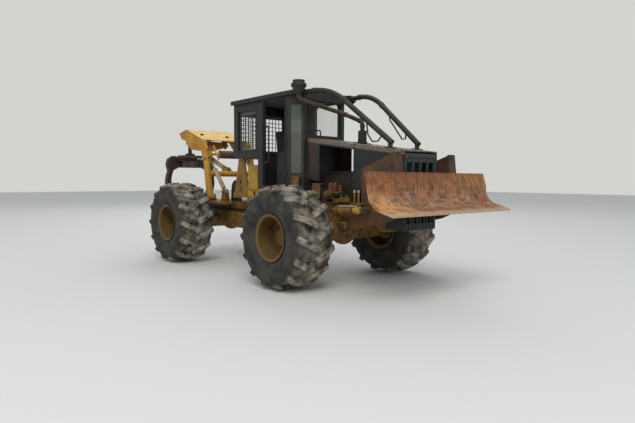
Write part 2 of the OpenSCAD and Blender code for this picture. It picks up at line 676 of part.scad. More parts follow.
module boom() color("goldenrod") placed() {
    difference() {
        union() {
            y_plate(-110, 110, [[boom_pin[0] + 60, boom_pin[1] + 70], [boom_pin[0] + 60, boom_pin[1] - 70],
                [boom_pin[0] - 400, boom_pin[1] - 120], [link_pin[0] + 180, link_pin[1] - 70],
                [link_pin[0] + 120, link_pin[1] + 60], [boom_pin[0] - 400, boom_pin[1] + 110]]);
            both_sides() y_plate(55, 80, concat([[link_pin[0] + 200, link_pin[1] + 55],
                [link_pin[0] + 200, link_pin[1] - 55]], arc(link_pin, 60, 270, 90, 8)));
        }
        y_bar(boom_pin, 38 + pin_gap, -200, 200);
    }
    both_sides() y_plate(60, 80, [[boom_eye[0] - 120, 2380], [boom_eye[0] - 50, boom_eye[1] - 50],
        [boom_eye[0] + 50, boom_eye[1] - 50], [boom_eye[0] + 120, 2380]]);
    y_bar(link_pin, 30, -95, 95);
}

module boom_barrel() color("wheat") placed() aim(boom_base, boom_eye, 0) barrel(640, 52, 48, 25, 100, 28);

module boom_rod() color("silver") placed() {
    d = norm(boom_eye - boom_base);
    aim(boom_base, boom_eye, 0) translate([d, 0, 0]) rod(d - 280, 28, 44, 100);
}

module swing_link() color("dimgray") placed() {
    difference() {
        union() {
            y_bar(link_pin, 55, -45, 45);
            translate([link_pin[0], 0, 2300]) cylinder(h = link_pin[1] - 2340, r = 45);
            translate([link_pin[0], 0, 2262 + pin_gap]) cylinder(h = 45, r = 110);
        }
        y_bar(link_pin, 30 + pin_gap, -100, 100);
    }
}

module grapple_head() color("dimgray") placed() {
    x = link_pin[0];
    // Crosshead: two plates with the tong pins between them
    for (s = [-1, 1]) {
        x_plate(x + s * (tong_w / 2 + 27) - 15, x + s * (tong_w / 2 + 27) + 15,
            [[-280, 2262], [280, 2262], [235, 1960], [-235, 1960]]);
    }
    block([x - tong_w / 2 - 14, -170, 2228], [x + tong_w / 2 + 14, 170, 2262]);
    both_sides() bar([x - tong_w / 2 - 50, tong_pin_y, tong_pin_z], [x + tong_w / 2 + 50, tong_pin_y, tong_pin_z], 32);
}

// A curved tong on the left side, seen along the machine as [y, z]
module tong(horn_l) {
    x = link_pin[0];
    pin = [tong_pin_y, tong_pin_z];
    outer = arc([0, 1600], 640, -86, 25, 14);
    inner = arc([-10, 1640], 540, 28, -80, 12);
    difference() {
        x_plate(x - tong_w / 2 + run_gap, x + tong_w / 2 - run_gap, concat([[20, 985]], outer, [[622, 2020], [590, 2160],
            [480, 2235], [395, 2235], [330, 2130]], arc(pin, 70, 80, 270, 8), [[300, 1975]], inner));
        bar([x - tong_w, pin[0], pin[1]], [x + tong_w, pin[0], pin[1]], 32 + pin_gap);
    }
    // Pin of the horn, out to the cylinder
    bar([x + tong_w / 2 - run_gap - 10, horn_pin[0], horn_pin[1]], [x + horn_x + horn_l, horn_pin[0], horn_pin[1]], 25);
}

module tong_left() color("sienna") placed() tong(-36);
module tong_right() color("sienna") placed() mirror([0, 1, 0]) tong(50);

// The cylinder between the horns, on the right tong's pin
module tong_barrel() color("dimgray") placed() {
    translate([link_pin[0] + horn_x, -horn_pin[0], horn_pin[1]]) rotate([0, 0, 90])
        barrel(505, 40, 44, 25, 60, 20);
}

module tong_rod() color("silver") placed() {
    translate([link_pin[0] + horn_x, horn_pin[0], horn_pin[1]]) rotate([0, 0, 90]) rod(440, 20, 40, 60);
}

// Blade

module blade() color("chocolate") placed() {
    front = concat([[1813, 1791]], [[1872, 1600]], arc([2110, 1560], 240, 172, 250, 6), [[2297, 1257]]);
    y_plate(-blade_half_w, blade_half_w, concat(front, blade_back));
}

module blade_arms() color("saddlebrown") placed() {
    both_sides() difference() {
        union() {
            y_plate(arm_y - arm_t / 2, arm_y + arm_t / 2, concat([[1055, 1851], [1697, 2072], [1740, 2072],
                [1750, 1791]], [for (i = [4, 3, 2, 1]) blade_back[i] - [seat_gap, 0]],
                [[1567, 1100], [1121, 997], [arm_pin[0] + 20, 905]], arc(arm_pin, 95, 270, 90, 8), [[1000, 1160], [1055, 1300]]));
            y_plate(arm_y - 75, arm_y + 75, [[1697, 1793], [1697, 2072], [1725, 2072], [1760, 1793]]);
            // Boss of the lift cylinder's pin
            y_bar(blade_eye, 45, arm_y, blade_cyl_y - 38);
        }
        y_bar(arm_pin, arm_shaft_r + pin_gap, 0, 900);
    }
}

module blade_barrels() color("gold") placed() {
    both_sides() aim(blade_base, blade_eye, blade_cyl_y) barrel(440, 46, 52, 30, 60, 24);
}

module blade_rods() color("silver") placed() {
    d = norm(blade_eye - blade_base);
    both_sides() aim(blade_base, blade_eye, blade_cyl_y) translate([d, 0, 0]) rod(d - 250, 24, 40, 60);
}

// Steering cylinders, from the front frame back to the rear frame

module steer_barrel(side) {
    translate([steer_front_x, side * steer_y, steer_z]) rotate([0, 0, 180]) rotate([90, 0, 0])
        barrel(560, 40, 40, 22, 76, 20);
}

module steer_rod(side) {
    translate([steer_rear_x, side * steer_y, steer_z]) rotate([0, 0, 180]) rotate([90, 0, 0])
        rod(650, 20, 36, 60);
}

module steer_barrel_right() color("goldenrod") placed() steer_barrel(-1);
module steer_rod_right() color("silver") placed() steer_rod(-1);
module steer_barrel_left() color("goldenrod") placed() steer_barrel(1);
module steer_rod_left() color("silver") placed() steer_rod(1);

// Wheels

module tyre(x, side) {
    w = tyre_w / 2;
    color("dimgray") placed() translate([x, side * wheel_y, wheel_z]) rotate([90, 0, 0]) rotate_extrude($fn = 96)
        polygon([[rim_flange_r + 1, -w + 66], [tyre_r * 0.72, -w], [tyre_r * 0.86, -w + 5], [tyre_r * 0.95, -w + 30],
            [tyre_r * 0.985, -w * 0.55], [tyre_r, -w * 0.25], [tyre_r, w * 0.25], [tyre_r * 0.985, w * 0.55],
            [tyre_r * 0.95, w - 30], [tyre_r * 0.86, w - 5], [tyre_r * 0.72, w], [rim_flange_r + 1, w - 66],
            [rim_flange_r - 25, w - 90], [rim_flange_r - 25, -w + 90]]);
}

module rim(x, side) {
    w = tyre_w / 2;
    color("darkgoldenrod") placed() translate([x, side * wheel_y, wheel_z]) rotate([-side * 90, 0, 0])
        difference() {
            rotate_extrude($fn = 96) polygon([[110, w - 60 - dish_d], [rim_flange_r - 60, w - 60 - dish_d],
                [rim_flange_r - 60, -w + 70], [rim_flange_r, -w + 50], [rim_flange_r, -w + 64],
                [rim_flange_r - 26, -w + 88], [rim_flange_r - 26, w - 88], [rim_flange_r, w - 64],
                [rim_flange_r, w - 50], [rim_flange_r - 45, w - 70], [rim_flange_r - 45, w - 30 - dish_d],
                [110, w - 30 - dish_d]]);
        }
}

module tyre_front_right() tyre(0, -1);
module rim_front_right() rim(0, -1);
module tyre_front_left() tyre(0, 1);
module rim_front_left() rim(0, 1);
module tyre_rear_right() tyre(rear_x, -1);
module rim_rear_right() rim(rear_x, -1);
module tyre_rear_left() tyre(rear_x, 1);
module rim_rear_left() rim(rear_x, 1);

front_frame();
front_axle();
engine();
transmission();
hood();
radiator_guard();
cab_shell();
cab_roof();
cab_guards();
cab_glass();
seat();
console();
limb_risers();
intake_pipe();
side_tanks();
side_steps();
rear_frame();
rear_axle();
winch();
arch_frame();
arch_head();
arch_roller();
arch_barrels();
arch_rods();
boom();
boom_barrel();
boom_rod();
swing_link();
grapple_head();
tong_right();
tong_left();
tong_barrel();
tong_rod();
blade();
blade_arms();
blade_barrels();
blade_rods();
steer_barrel_right();
steer_rod_right();
steer_barrel_left();
steer_rod_left();
tyre_front_right();
rim_front_right();
tyre_front_left();
rim_front_left();
tyre_rear_right();
rim_rear_right();
tyre_rear_left();
rim_rear_left();
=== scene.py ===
"""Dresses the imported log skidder: weathered paint, rust, rubber, glass and fittings, on a plain stage."""
import json
import math
from functools import partial

import bmesh
import bpy
from bpy.props import FloatProperty, FloatVectorProperty, IntProperty, PointerProperty
from mathutils import Matrix, Vector


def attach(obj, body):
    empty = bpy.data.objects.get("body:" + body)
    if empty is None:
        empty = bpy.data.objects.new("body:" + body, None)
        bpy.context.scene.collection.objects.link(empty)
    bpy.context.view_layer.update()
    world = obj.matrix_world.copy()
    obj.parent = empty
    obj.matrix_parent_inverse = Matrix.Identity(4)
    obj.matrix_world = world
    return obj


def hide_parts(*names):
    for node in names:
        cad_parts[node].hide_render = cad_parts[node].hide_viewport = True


bl_info = {
    "name": "Weathered Log Skidder",
    "version": (1, 0, 0),
    "blender": (4, 5, 0),
    "location": "View3D > Sidebar > Skidder",
    "description": "Finishes and small fittings for an articulated log skidder",
    "category": "Object",
}

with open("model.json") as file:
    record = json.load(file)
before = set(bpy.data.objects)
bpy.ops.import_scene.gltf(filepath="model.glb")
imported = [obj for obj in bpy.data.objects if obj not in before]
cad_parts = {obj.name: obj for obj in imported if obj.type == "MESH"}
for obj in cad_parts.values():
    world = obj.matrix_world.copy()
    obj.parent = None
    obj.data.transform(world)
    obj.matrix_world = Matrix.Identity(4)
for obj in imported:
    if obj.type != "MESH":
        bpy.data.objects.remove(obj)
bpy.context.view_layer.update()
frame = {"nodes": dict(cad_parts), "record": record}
# All in millimetres; x counts from the front axle, as in the part's source
AXLE_X = 1664.0
REAR_X = -3570.0
WHEEL_Y = 1218.0
WHEEL_Z = 805.0
# Each wheel's place along the machine, and its side: -1 is the right
WHEELS = {
    "front_right": (0.0, -1), "front_left": (0.0, 1), "rear_right": (REAR_X, -1), "rear_left": (REAR_X, 1)
}
TYRE_R = 805.0
TYRE_HALF = 370.0
# Lugs on each side of a tyre, how far they turn out of its axis, and their width
LUGS = 14
LUG_TURN = math.radians(26)
LUG_WIDTH = 96.0
# Where fittings sit: the sides' distances from the middle plane, and the front of the guard
HOOD_SIDE = 388
FRAME_SIDE = 372
ARCH_SIDE = 572
ARM_SIDE = 642
CAB_SIDE = 640
GUARD_FRONT = 1629
# Faces that meet at more than this keep a hard edge
SHARP = math.radians(38)
X_AXIS, Y_AXIS, Z_AXIS = Vector((1, 0, 0)), Vector((0, 1, 0)), Vector((0, 0, 1))
# The hood's top edge, as z + HOOD_SLOPE * x in metres
HOOD_SLOPE = 283 / 2110
HOOD_LINE = 2.112 + HOOD_SLOPE * 3.294
# The finishes by name, which for most is a slot of the imported record
FINISHES = {}


def linear(code):
    """The linear colour of an sRGB hex value."""
    parts = [int(code[i : i + 2], 16) / 255 for i in (1, 3, 5)]
    return tuple(c / 12.92 if c <= 0.04045 else ((c + 0.055) / 1.055) ** 2.4 for c in parts)


def at(x, y, z):
    """A point in millimetres from the front axle, as metres in the shared frame."""
    return Vector(((x + AXLE_X) / 1000, y / 1000, z / 1000))


# Shapes, each added to an open bmesh


def add_rounding(bm, edges, offset):
    """Rounds edges by an offset in metres."""
    bmesh.ops.bevel(bm, geom=edges, offset=offset, segments=2, profile=0.5, affect="EDGES", material=-1)


def edges_of(verts):
    """The edges that meet vertices, each once and in a fixed order."""
    return list(dict.fromkeys(e for v in verts for e in v.link_edges))


def add_block(bm, low, high, bevel):
    """A block between two corners in millimetres, with its edges rounded."""
    a, b = at(*low), at(*high)
    made = bmesh.ops.create_cube(bm, size=1.0)["verts"]
    bmesh.ops.scale(bm, vec=b - a, verts=made)
    bmesh.ops.translate(bm, vec=(a + b) / 2, verts=made)
    add_rounding(bm, edges_of(made), bevel / 1000)


def facing(way):
    """The turn that lays the Z axis along a direction."""
    return way.to_track_quat("Z", "Y").to_matrix().to_4x4()


def add_rod(bm, start, end, radius, segments, end_radius=None):
    """A round bar between two points in metres, its radius in millimetres."""
    way = end - start
    bmesh.ops.create_cone(
        bm,
        cap_ends=True,
        segments=segments,
        radius1=radius / 1000,
        radius2=(radius if end_radius is None else end_radius) / 1000,
        depth=way.length,
        matrix=Matrix.Translation((start + end) / 2) @ facing(way),
    )


def smooth_route(points):
    """Points of a smooth curve through the given ones, five to a stretch."""
    steps = 5
    out = []
    ends = [2 * points[0] - points[1], *points, 2 * points[-1] - points[-2]]
    for p0, p1, p2, p3 in zip(ends, ends[1:], ends[2:], ends[3:]):
        rise, bow, wave = p2 - p0, 2 * p0 - 5 * p1 + 4 * p2 - p3, 3 * p1 - p0 - 3 * p2 + p3
        for i in range(steps):
            t = i / steps
            out.append(0.5 * (2 * p1 + rise * t + bow * t**2 + wave * t**3))
    return [*out, points[-1].copy()]


def add_tube(bm, route, radius, segments):
    """A bent bar along a route in metres: one ring of edges extruded from point to point."""
    way = (route[1] - route[0]).normalized()
    place = Matrix.Translation(route[0]) @ facing(way)
    made = bmesh.ops.create_circle(bm, cap_ends=True, segments=segments, radius=radius / 1000, matrix=place)
    edges = [e for e in bm.edges if all(v in made["verts"] for v in e.verts)]
    for i in range(1, len(route)):
        new_way = (route[min(i + 1, len(route) - 1)] - route[i - 1]).normalized()
        made = bmesh.ops.extrude_edge_only(bm, edges=edges)["geom"]
        verts = [g for g in made if isinstance(g, bmesh.types.BMVert)]
        edges = [g for g in made if isinstance(g, bmesh.types.BMEdge) and all(v in verts for v in g.verts)]
        bmesh.ops.translate(bm, vec=route[i] - route[i - 1], verts=verts)
        turn = way.rotation_difference(new_way).to_matrix()
        bmesh.ops.rotate(bm, cent=route[i], matrix=turn, verts=verts)
        way = new_way
    bmesh.ops.contextual_create(bm, geom=edges)


def add_plate(bm, outline, depth):
    """A flat plate: an outline of points in metres, extruded by a vector."""
    face = bm.faces.new([bm.verts.new(p) for p in outline])
    made = bmesh.ops.extrude_face_region(bm, geom=[face])["geom"]
    bmesh.ops.translate(bm, vec=depth, verts=[g for g in made if isinstance(g, bmesh.types.BMVert)])


def add_bolt(bm, place, way, size):
    """A hexagon bolt head on its washer, as wide as size, standing along way."""
    way = way.normalized()
    add_rod(bm, place, place + way * 0.004, size * 0.68, 14)
    add_rod(bm, place + way * 0.003, place + way * (0.004 + size * 0.0006), size * 0.5, 6)


def add_spun(bm, shape, centre, axis, steps):
    """Spins a shape once round an axis through the centre."""
    bmesh.ops.spin(bm, geom=shape, cent=centre, axis=axis, angle=math.tau, steps=steps, use_merge=True)


def add_ring(bm, centre, way, radius, tube, segments=32, sides=8):
    """A round ring about an axis."""
    way = way.normalized()
    side = way.orthogonal().normalized()
    place = Matrix.Translation(centre + side * radius / 1000) @ facing(way.cross(side))
    made = bmesh.ops.create_circle(bm, cap_ends=False, segments=sides, radius=tube / 1000, matrix=place)
    add_spun(bm, made["verts"] + edges_of(made["verts"]), centre, way, segments)


def add_turned(bm, profile, centre, axis, out, steps):
    """A solid of revolution: a closed profile of [radius, height] in millimetres, with its radius
    along out and its height along the axis, spun about the axis through the centre."""
    points = [bm.verts.new(centre + out * r / 1000 + axis * h / 1000) for r, h in profile]
    edges = [bm.edges.new(pair) for pair in zip(points, points[1:] + points[:1])]
    add_spun(bm, points + edges, centre, axis, steps)


def mirrored(bm):
    """Adds the mirror image across the machine's middle plane."""
    made = bmesh.ops.duplicate(bm, geom=bm.verts[:] + bm.edges[:] + bm.faces[:])["geom"]
    bmesh.ops.scale(bm, vec=(1, -1, 1), verts=[g for g in made if isinstance(g, bmesh.types.BMVert)])


def finished(bm, name, body, finish, smooth=False):
    """Closes a bmesh as a piece that rides on a body, in one of the finishes."""
    bmesh.ops.remove_doubles(bm, verts=bm.verts, dist=1e-6)
    bmesh.ops.recalc_face_normals(bm, faces=bm.faces)
    mesh = bpy.data.meshes.new(name)
    bm.to_mesh(mesh)
    bm.free()
    mesh.materials.append(FINISHES[finish])
    obj = bpy.data.objects.new(name, mesh)
    bpy.context.scene.collection.objects.link(obj)
    if smooth:
        mesh.shade_smooth()
        mesh.set_sharp_from_angle(angle=SHARP)
    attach(obj, body)
    return obj


# Materials


def set_inputs(node, inputs):
    """Gives each named input of a node its value, or a link from a socket."""
    for key, value in inputs.items():
        if isinstance(value, bpy.types.NodeSocket):
            node.id_data.links.new(value, node.inputs[key])
        else:
            node.inputs[key].default_value = value


def add_node(tree, kind, inputs=None, out=None, **settings):
    """Adds a shader node with its settings and inputs, and hands back its output socket out, or
    the node where out isn't given."""
    made = tree.nodes.new("ShaderNode" + kind)
    for key, value in settings.items():
        setattr(made, key, value)
    set_inputs(made, inputs or {})
    return made if out is None else made.outputs[out]


def rgba(colour):
    """A colour with its alpha of one."""
    return (*colour, 1.0)


def new_material(name):
    """A material, the call that adds a node to it, its shader and the object's own coordinates."""
    material = bpy.data.materials.new(name)
    material.use_nodes = True
    material.node_tree.nodes.clear()
    add = partial(add_node, material.node_tree)
    shader = add("BsdfPrincipled")
    add("OutputMaterial", {"Surface": shader.outputs[0]})
    return material, add, shader, add("TexCoord", out="Object")


def blotches(add, coords, size_mm, low, high, detail, stretch=(1, 1, 1), seed=0.0, top=1.0):
    """A mask of cloudy patches about size_mm across; it rises from 0 to top between low and high."""
    moved = add("Mapping", {"Vector": coords, "Location": (seed, seed * 0.7, 0), "Scale": stretch}, 0)
    inputs = {"Vector": moved, "Scale": 1000 / size_mm, "Detail": detail, "Roughness": 0.62}
    noise = add("TexNoise", inputs, 0)
    return add("MapRange", {"Value": noise, "From Min": low, "From Max": high, "To Max": top}, 0)


def old_enamel(
    name, paint, faded, wear, streaks, dust, seed=0.0, top_dust_and_highlight=None, rust=None, turns=(), flakes=0.0
):
    """Brushed-on machine enamel over plate steel, chalked by the sun, with chips down to brown
    rust, rain streaks below them and dust on what faces up. Chips are about 30 mm across. A colour
    given for what faces up takes the place of dust; the arch's pale yellow there is partly bleached
    paint and partly a painted highlight from the sky. Each turn is an axis, where it starts and
    ends in metres, and the paint beyond it. Flakes lie along the hood's top edge."""
    look = bpy.context.scene.skidder_finish
    material, add, shader, coords = new_material(name)
    cloud = blotches(add, coords, 420, 0.3, 0.7, 4, seed=seed)
    grain = blotches(add, coords, 9, 0.3, 0.7, 3, seed=seed)
    dark_rust, light_rust = rust or (look.rust_dark, look.rust_light)
    mottle = blotches(add, coords, 45, 0.35, 0.65, 8, seed=seed + 3)
    rusted = add("Mix", {0: mottle, 6: rgba(dark_rust), 7: rgba(light_rust)}, 2, data_type="RGBA")
    # Paint is off where broad patches and small chips meet
    patch = blotches(add, coords, 240, 0.45, 0.75, 5, seed=seed + 5)
    chip = blotches(add, coords, 34, 0.4, 0.62, 9, seed=seed + 8, top=0.55)
    worn = add("Math", {0: patch, 1: 0.75, 2: chip}, 0, operation="MULTIPLY_ADD")
    edge = 0.98 - wear * 0.9
    bare = add("MapRange", {"Value": worn, "From Min": edge, "From Max": edge + 0.12}, 0)
    coat = add("Mix", {0: cloud, 6: rgba(paint), 7: rgba(faded)}, 2, data_type="RGBA")
    place = add("SeparateXYZ", {0: coords}).outputs
    for axis, start, end, second in turns:
        reach = {0: patch, 1: (end - start) * 0.8, 2: place[axis]}
        ragged = add("Math", reach, 0, operation="MULTIPLY_ADD")
        beyond = add("MapRange", {"Value": ragged, "From Min": start, "From Max": end}, 0)
        coat = add("Mix", {0: beyond, 6: coat, 7: rgba(second)}, 2, data_type="RGBA")
    if flakes:
        line = add("Math", {0: place[0], 1: HOOD_SLOPE, 2: place[2]}, 0, operation="MULTIPLY_ADD")
        band = {
            "Value": line, "From Min": HOOD_LINE - 0.075, "From Max": HOOD_LINE - 0.055, "To Max": flakes
        }
        near = add("MapRange", band, 0)
        base = add("Math", {0: near, 1: 0.8}, 0, operation="MULTIPLY")
        coat = add("Mix", {0: base, 6: coat, 7: rgba(look.hood_band)}, 2, data_type="RGBA")
        speckle = blotches(add, coords, 20, 0.47, 0.56, 9, (1, 1, 1.3), seed + 9)
        flake = add("Math", {0: near, 1: speckle}, 0, operation="MULTIPLY")
        coat = add("Mix", {0: flake, 6: coat, 7: rgba(look.flake)}, 2, data_type="RGBA")
    # Rain runs, dirt in the grain, then rust and dust on what faces up, which on the arch is partly a
    # painted highlight
    run = blotches(add, coords, 30, 0.5, 0.8, 5, stretch=(1, 1, 0.09), seed=seed + 2, top=streaks)
    coat = add("Mix", {0: run, 6: coat, 7: rgba(dark_rust)}, 2, data_type="RGBA")
    dirt = add("Math", {0: grain, 1: 0.18}, 0, operation="MULTIPLY")
    coat = add("Mix", {0: dirt, 6: coat, 7: rgba(look.grime)}, 2, data_type="RGBA")
    colour = add("Mix", {0: bare, 6: coat, 7: rusted}, 2, data_type="RGBA")
    normal = add("TexCoord", out="Normal")
    upward = add("SeparateXYZ", {0: normal}, 2)
    lying = add("MapRange", {"Value": upward, "From Min": 0.35, "From Max": 0.95, "To Max": dust}, 0)
    drift = blotches(add, coords, 130, 0.25, 0.6, 8, seed=seed + 6)
    # Share of the up-facing colour: dust, and on the arch partly a painted sky highlight
    dust_and_highlight_share = add("Math", {0: lying, 1: drift}, 0, operation="MULTIPLY")
    dusty = {0: dust_and_highlight_share, 6: colour, 7: rgba(top_dust_and_highlight or look.dust)}
    colour = add("Mix", dusty, 2, data_type="RGBA")
    rough = add("MapRange", {"Value": bare, "To Min": 0.6, "To Max": 0.92}, 0)
    tooth = add("Math", {0: grain, 1: 0.3}, 0, operation="MULTIPLY")
    height = add("Math", {0: tooth, 1: bare}, 0, operation="SUBTRACT")
    bump = add("Bump", {"Height": height, "Strength": 0.35, "Distance": 0.002}, 0)
    set_inputs(shader, {"Base Color": colour, "Roughness": rough, "Normal": bump})
    return material


def blade_steel(name):
    """Mould-board steel, scoured by soil: orange rust with scraped ochre patches, upright scratches,
    a paler middle, dark old rust along the top and a worn cutting edge along its foot."""
    look = bpy.context.scene.skidder_finish
    material, add, shader, coords = new_material(name)
    place = add("SeparateXYZ", {0: coords}).outputs
    mottle = blotches(add, coords, 260, 0.38, 0.62, 7)
    tones = {0: mottle, 6: rgba(look.blade_brown), 7: rgba(look.blade_orange)}
    base = add("Mix", tones, 2, data_type="RGBA")
    # Scraped ochre low at the right end and high towards the left
    low = add("MapRange", {"Value": place[2], "From Min": 1.62, "From Max": 1.36}, 0)
    right = add("MapRange", {"Value": place[1], "From Min": -0.6, "From Max": -1.1}, 0)
    high = add("MapRange", {"Value": place[2], "From Min": 1.45, "From Max": 1.7}, 0)
    left = add("MapRange", {"Value": place[1], "From Min": 0.1, "From Max": 0.9, "To Max": 0.6}, 0)
    corner = add("Math", {0: low, 1: right}, 0, operation="MULTIPLY")
    far = add("Math", {0: high, 1: left}, 0, operation="MULTIPLY")
    either = add("Math", {0: corner, 1: far}, 0, operation="MAXIMUM")
    scrape = blotches(add, coords, 70, 0.36, 0.6, 8, stretch=(1, 1, 0.4), seed=4, top=0.9)
    ochre = add("Math", {0: either, 1: scrape}, 0, operation="MULTIPLY")
    base = add("Mix", {0: ochre, 6: base, 7: rgba(look.blade_ochre)}, 2, data_type="RGBA")
    # The middle is scoured pale
    belly = add("MapRange", {"Value": place[2], "From Min": 1.66, "From Max": 1.42}, 0)
    cloud = blotches(add, coords, 110, 0.42, 0.7, 8, (1, 0.6, 1.6), 21, top=0.55)
    scour = add("Math", {0: belly, 1: cloud}, 0, operation="MULTIPLY")
    base = add("Mix", {0: scour, 6: base, 7: rgba(look.blade_pale)}, 2, data_type="RGBA")
    scratch = blotches(add, coords, 26, 0.5, 0.66, 5, stretch=(0.4, 1.6, 0.12), seed=9, top=0.5)
    base = add("Mix", {0: scratch, 6: base, 7: rgba(look.blade_pale)}, 2, data_type="RGBA")
    # Dark old rust along the top and in patches
    top = add("MapRange", {"Value": place[2], "From Min": 1.6, "From Max": 1.78, "To Max": 0.55}, 0)
    dark = blotches(add, coords, 85, 0.5, 0.7, 8, seed=14)
    old = add("Math", {0: top, 1: dark}, 0, operation="MAXIMUM")
    shade = add("Math", {0: old, 1: 0.6}, 0, operation="MULTIPLY")
    base = add("Mix", {0: shade, 6: base, 7: rgba(look.rust_dark)}, 2, data_type="RGBA")
    # Cutting edge, with an uneven upper line
    uneven = blotches(add, coords, 80, 0.2, 0.8, 6, seed=2, top=0.035)
    level = add("Math", {0: place[2], 1: uneven}, 0, operation="SUBTRACT")
    foot = add("MapRange", {"Value": level, "From Min": 1.275, "From Max": 1.235, "To Max": 0.8}, 0)
    base = add("Mix", {0: foot, 6: base, 7: rgba(look.blade_pale)}, 2, data_type="RGBA")
    height = add("Math", {0: scratch, 1: 2.0, 2: dark}, 0, operation="MULTIPLY_ADD")
    bump = add("Bump", {"Height": height, "Strength": 0.4, "Distance": 0.002}, 0)
    set_inputs(shader, {"Base Color": base, "Roughness": 0.8, "Normal": bump})
    return material


def field_rubber(name, wheel_x):
    """Moulded tyre rubber, greyed by the sun: dark on the side walls, with pale dried soil on the
    crowns of the lugs. The wheel's centre is moved to the pattern's origin."""
    look = bpy.context.scene.skidder_finish
    material, add, shader, coords = new_material(name)
    centre = at(wheel_x, 0, WHEEL_Z)
    local = add("Mapping", {"Vector": coords, "Location": (-centre.x, 0, -centre.z)}, 0)
    flat = add("VectorMath", {0: local, 1: (1, 0, 1)}, 0, operation="MULTIPLY")
    radius = add("VectorMath", {0: flat}, "Value", operation="LENGTH")
    cloud = blotches(add, coords, 200, 0.3, 0.7, 5)
    tones = {0: cloud, 6: rgba(look.rubber), 7: rgba(look.rubber_grey)}
    rubber = add("Mix", tones, 2, data_type="RGBA")
    crown = {"Value": radius, "From Min": 0.71, "From Max": 0.768, "To Min": 0.1}
    tread = add("MapRange", crown, 0)
    soil = blotches(add, coords, 170, 0.36, 0.62, 10, seed=5)
    fine = blotches(add, coords, 12, 0.3, 0.7, 3, seed=1)
    caked = add("Math", {0: tread, 1: soil}, 0, operation="MULTIPLY")
    share = add("Math", {0: caked, 1: 0.9}, 0, operation="MULTIPLY")
    colour = add("Mix", {0: share, 6: rubber, 7: rgba(look.soil)}, 2, data_type="RGBA")
    pores = add("Math", {0: fine, 1: 0.25}, 0, operation="MULTIPLY")
    colour = add("Mix", {0: pores, 6: colour, 7: rgba(look.rubber)}, 2, data_type="RGBA")
    height = add("Math", {0: fine, 1: soil}, 0, operation="ADD")
    bump = add("Bump", {"Height": height, "Strength": 0.4, "Distance": 0.003}, 0)
    set_inputs(shader, {"Base Color": colour, "Roughness": 0.86, "Normal": bump})
    return material


def plain_metal(name, colour, dark, roughness, metallic, size_mm):
    """Bare or oily metal: two tones in small patches and a fine tooth."""
    material, add, shader, coords = new_material(name)
    patch = blotches(add, coords, size_mm, 0.35, 0.68, 7)
    tone = add("Mix", {0: patch, 6: rgba(linear(colour)), 7: rgba(linear(dark))}, 2, data_type="RGBA")
    rough = add("MapRange", {"Value": patch, "To Min": roughness, "To Max": roughness + 0.25}, 0)
    bump = add("Bump", {"Height": patch, "Strength": 0.2, "Distance": 0.001}, 0)
    set_inputs(shader, {"Base Color": tone, "Roughness": rough, "Metallic": metallic, "Normal": bump})
    return material


def dusty_glass(name):
    """Tempered cab glass under a film of dust: clear in the windscreen, milky in the slanted side
    panes, which lie further than 425 mm from the middle."""
    look = bpy.context.scene.skidder_finish
    material, add, shader, coords = new_material(name)
    side = add("SeparateXYZ", {0: coords}, 1)
    apart = add("Math", {0: side}, 0, operation="ABSOLUTE")
    panes = {"Value": apart, "From Min": 0.425, "From Max": 0.45, "To Min": 0.1, "To Max": 0.72}
    pane = add("MapRange", panes, 0)
    film = blotches(add, coords, 420, 0.25, 0.8, 3, stretch=(1, 1, 0.4))
    cover = add("Math", {0: film, 1: 0.1, 2: pane}, 0, operation="MULTIPLY_ADD")
    share = add("Math", {0: film, 1: 0.4}, 0, operation="MULTIPLY")
    colour = add("Mix", {0: share, 6: rgba(look.glass), 7: rgba(look.dust)}, 2, data_type="RGBA")
    set_inputs(shader, {"Base Color": colour, "Alpha": cover, "Roughness": 0.12, "IOR": 1.5})
    return material


def seat_cloth(name, colour, sheen):
    """Vinyl-backed seat cloth: a woven tooth, worn paler on its crowns. Its threads lie 3.6 mm apart,
    coarser than real ones, so that they show."""
    material, add, shader, coords = new_material(name)
    weave = add("TexVoronoi", {"Vector": coords, "Scale": 280.0}, 0)
    worn = blotches(add, coords, 90, 0.4, 0.75, 5)
    tone = add("Mix", {0: worn, 6: rgba(linear(colour)), 7: rgba(linear(sheen))}, 2, data_type="RGBA")
    bump = add("Bump", {"Height": weave, "Strength": 0.3, "Distance": 0.001}, 0)
    set_inputs(shader, {"Base Color": tone, "Roughness": 0.8, "Normal": bump})
    return material


def swatch(name, default, description):
    """A colour property with an sRGB default."""
    colour = linear(default)
    return FloatVectorProperty(
        name=name, description=description, subtype="COLOR", size=3, min=0.0, max=1.0, default=colour
    )


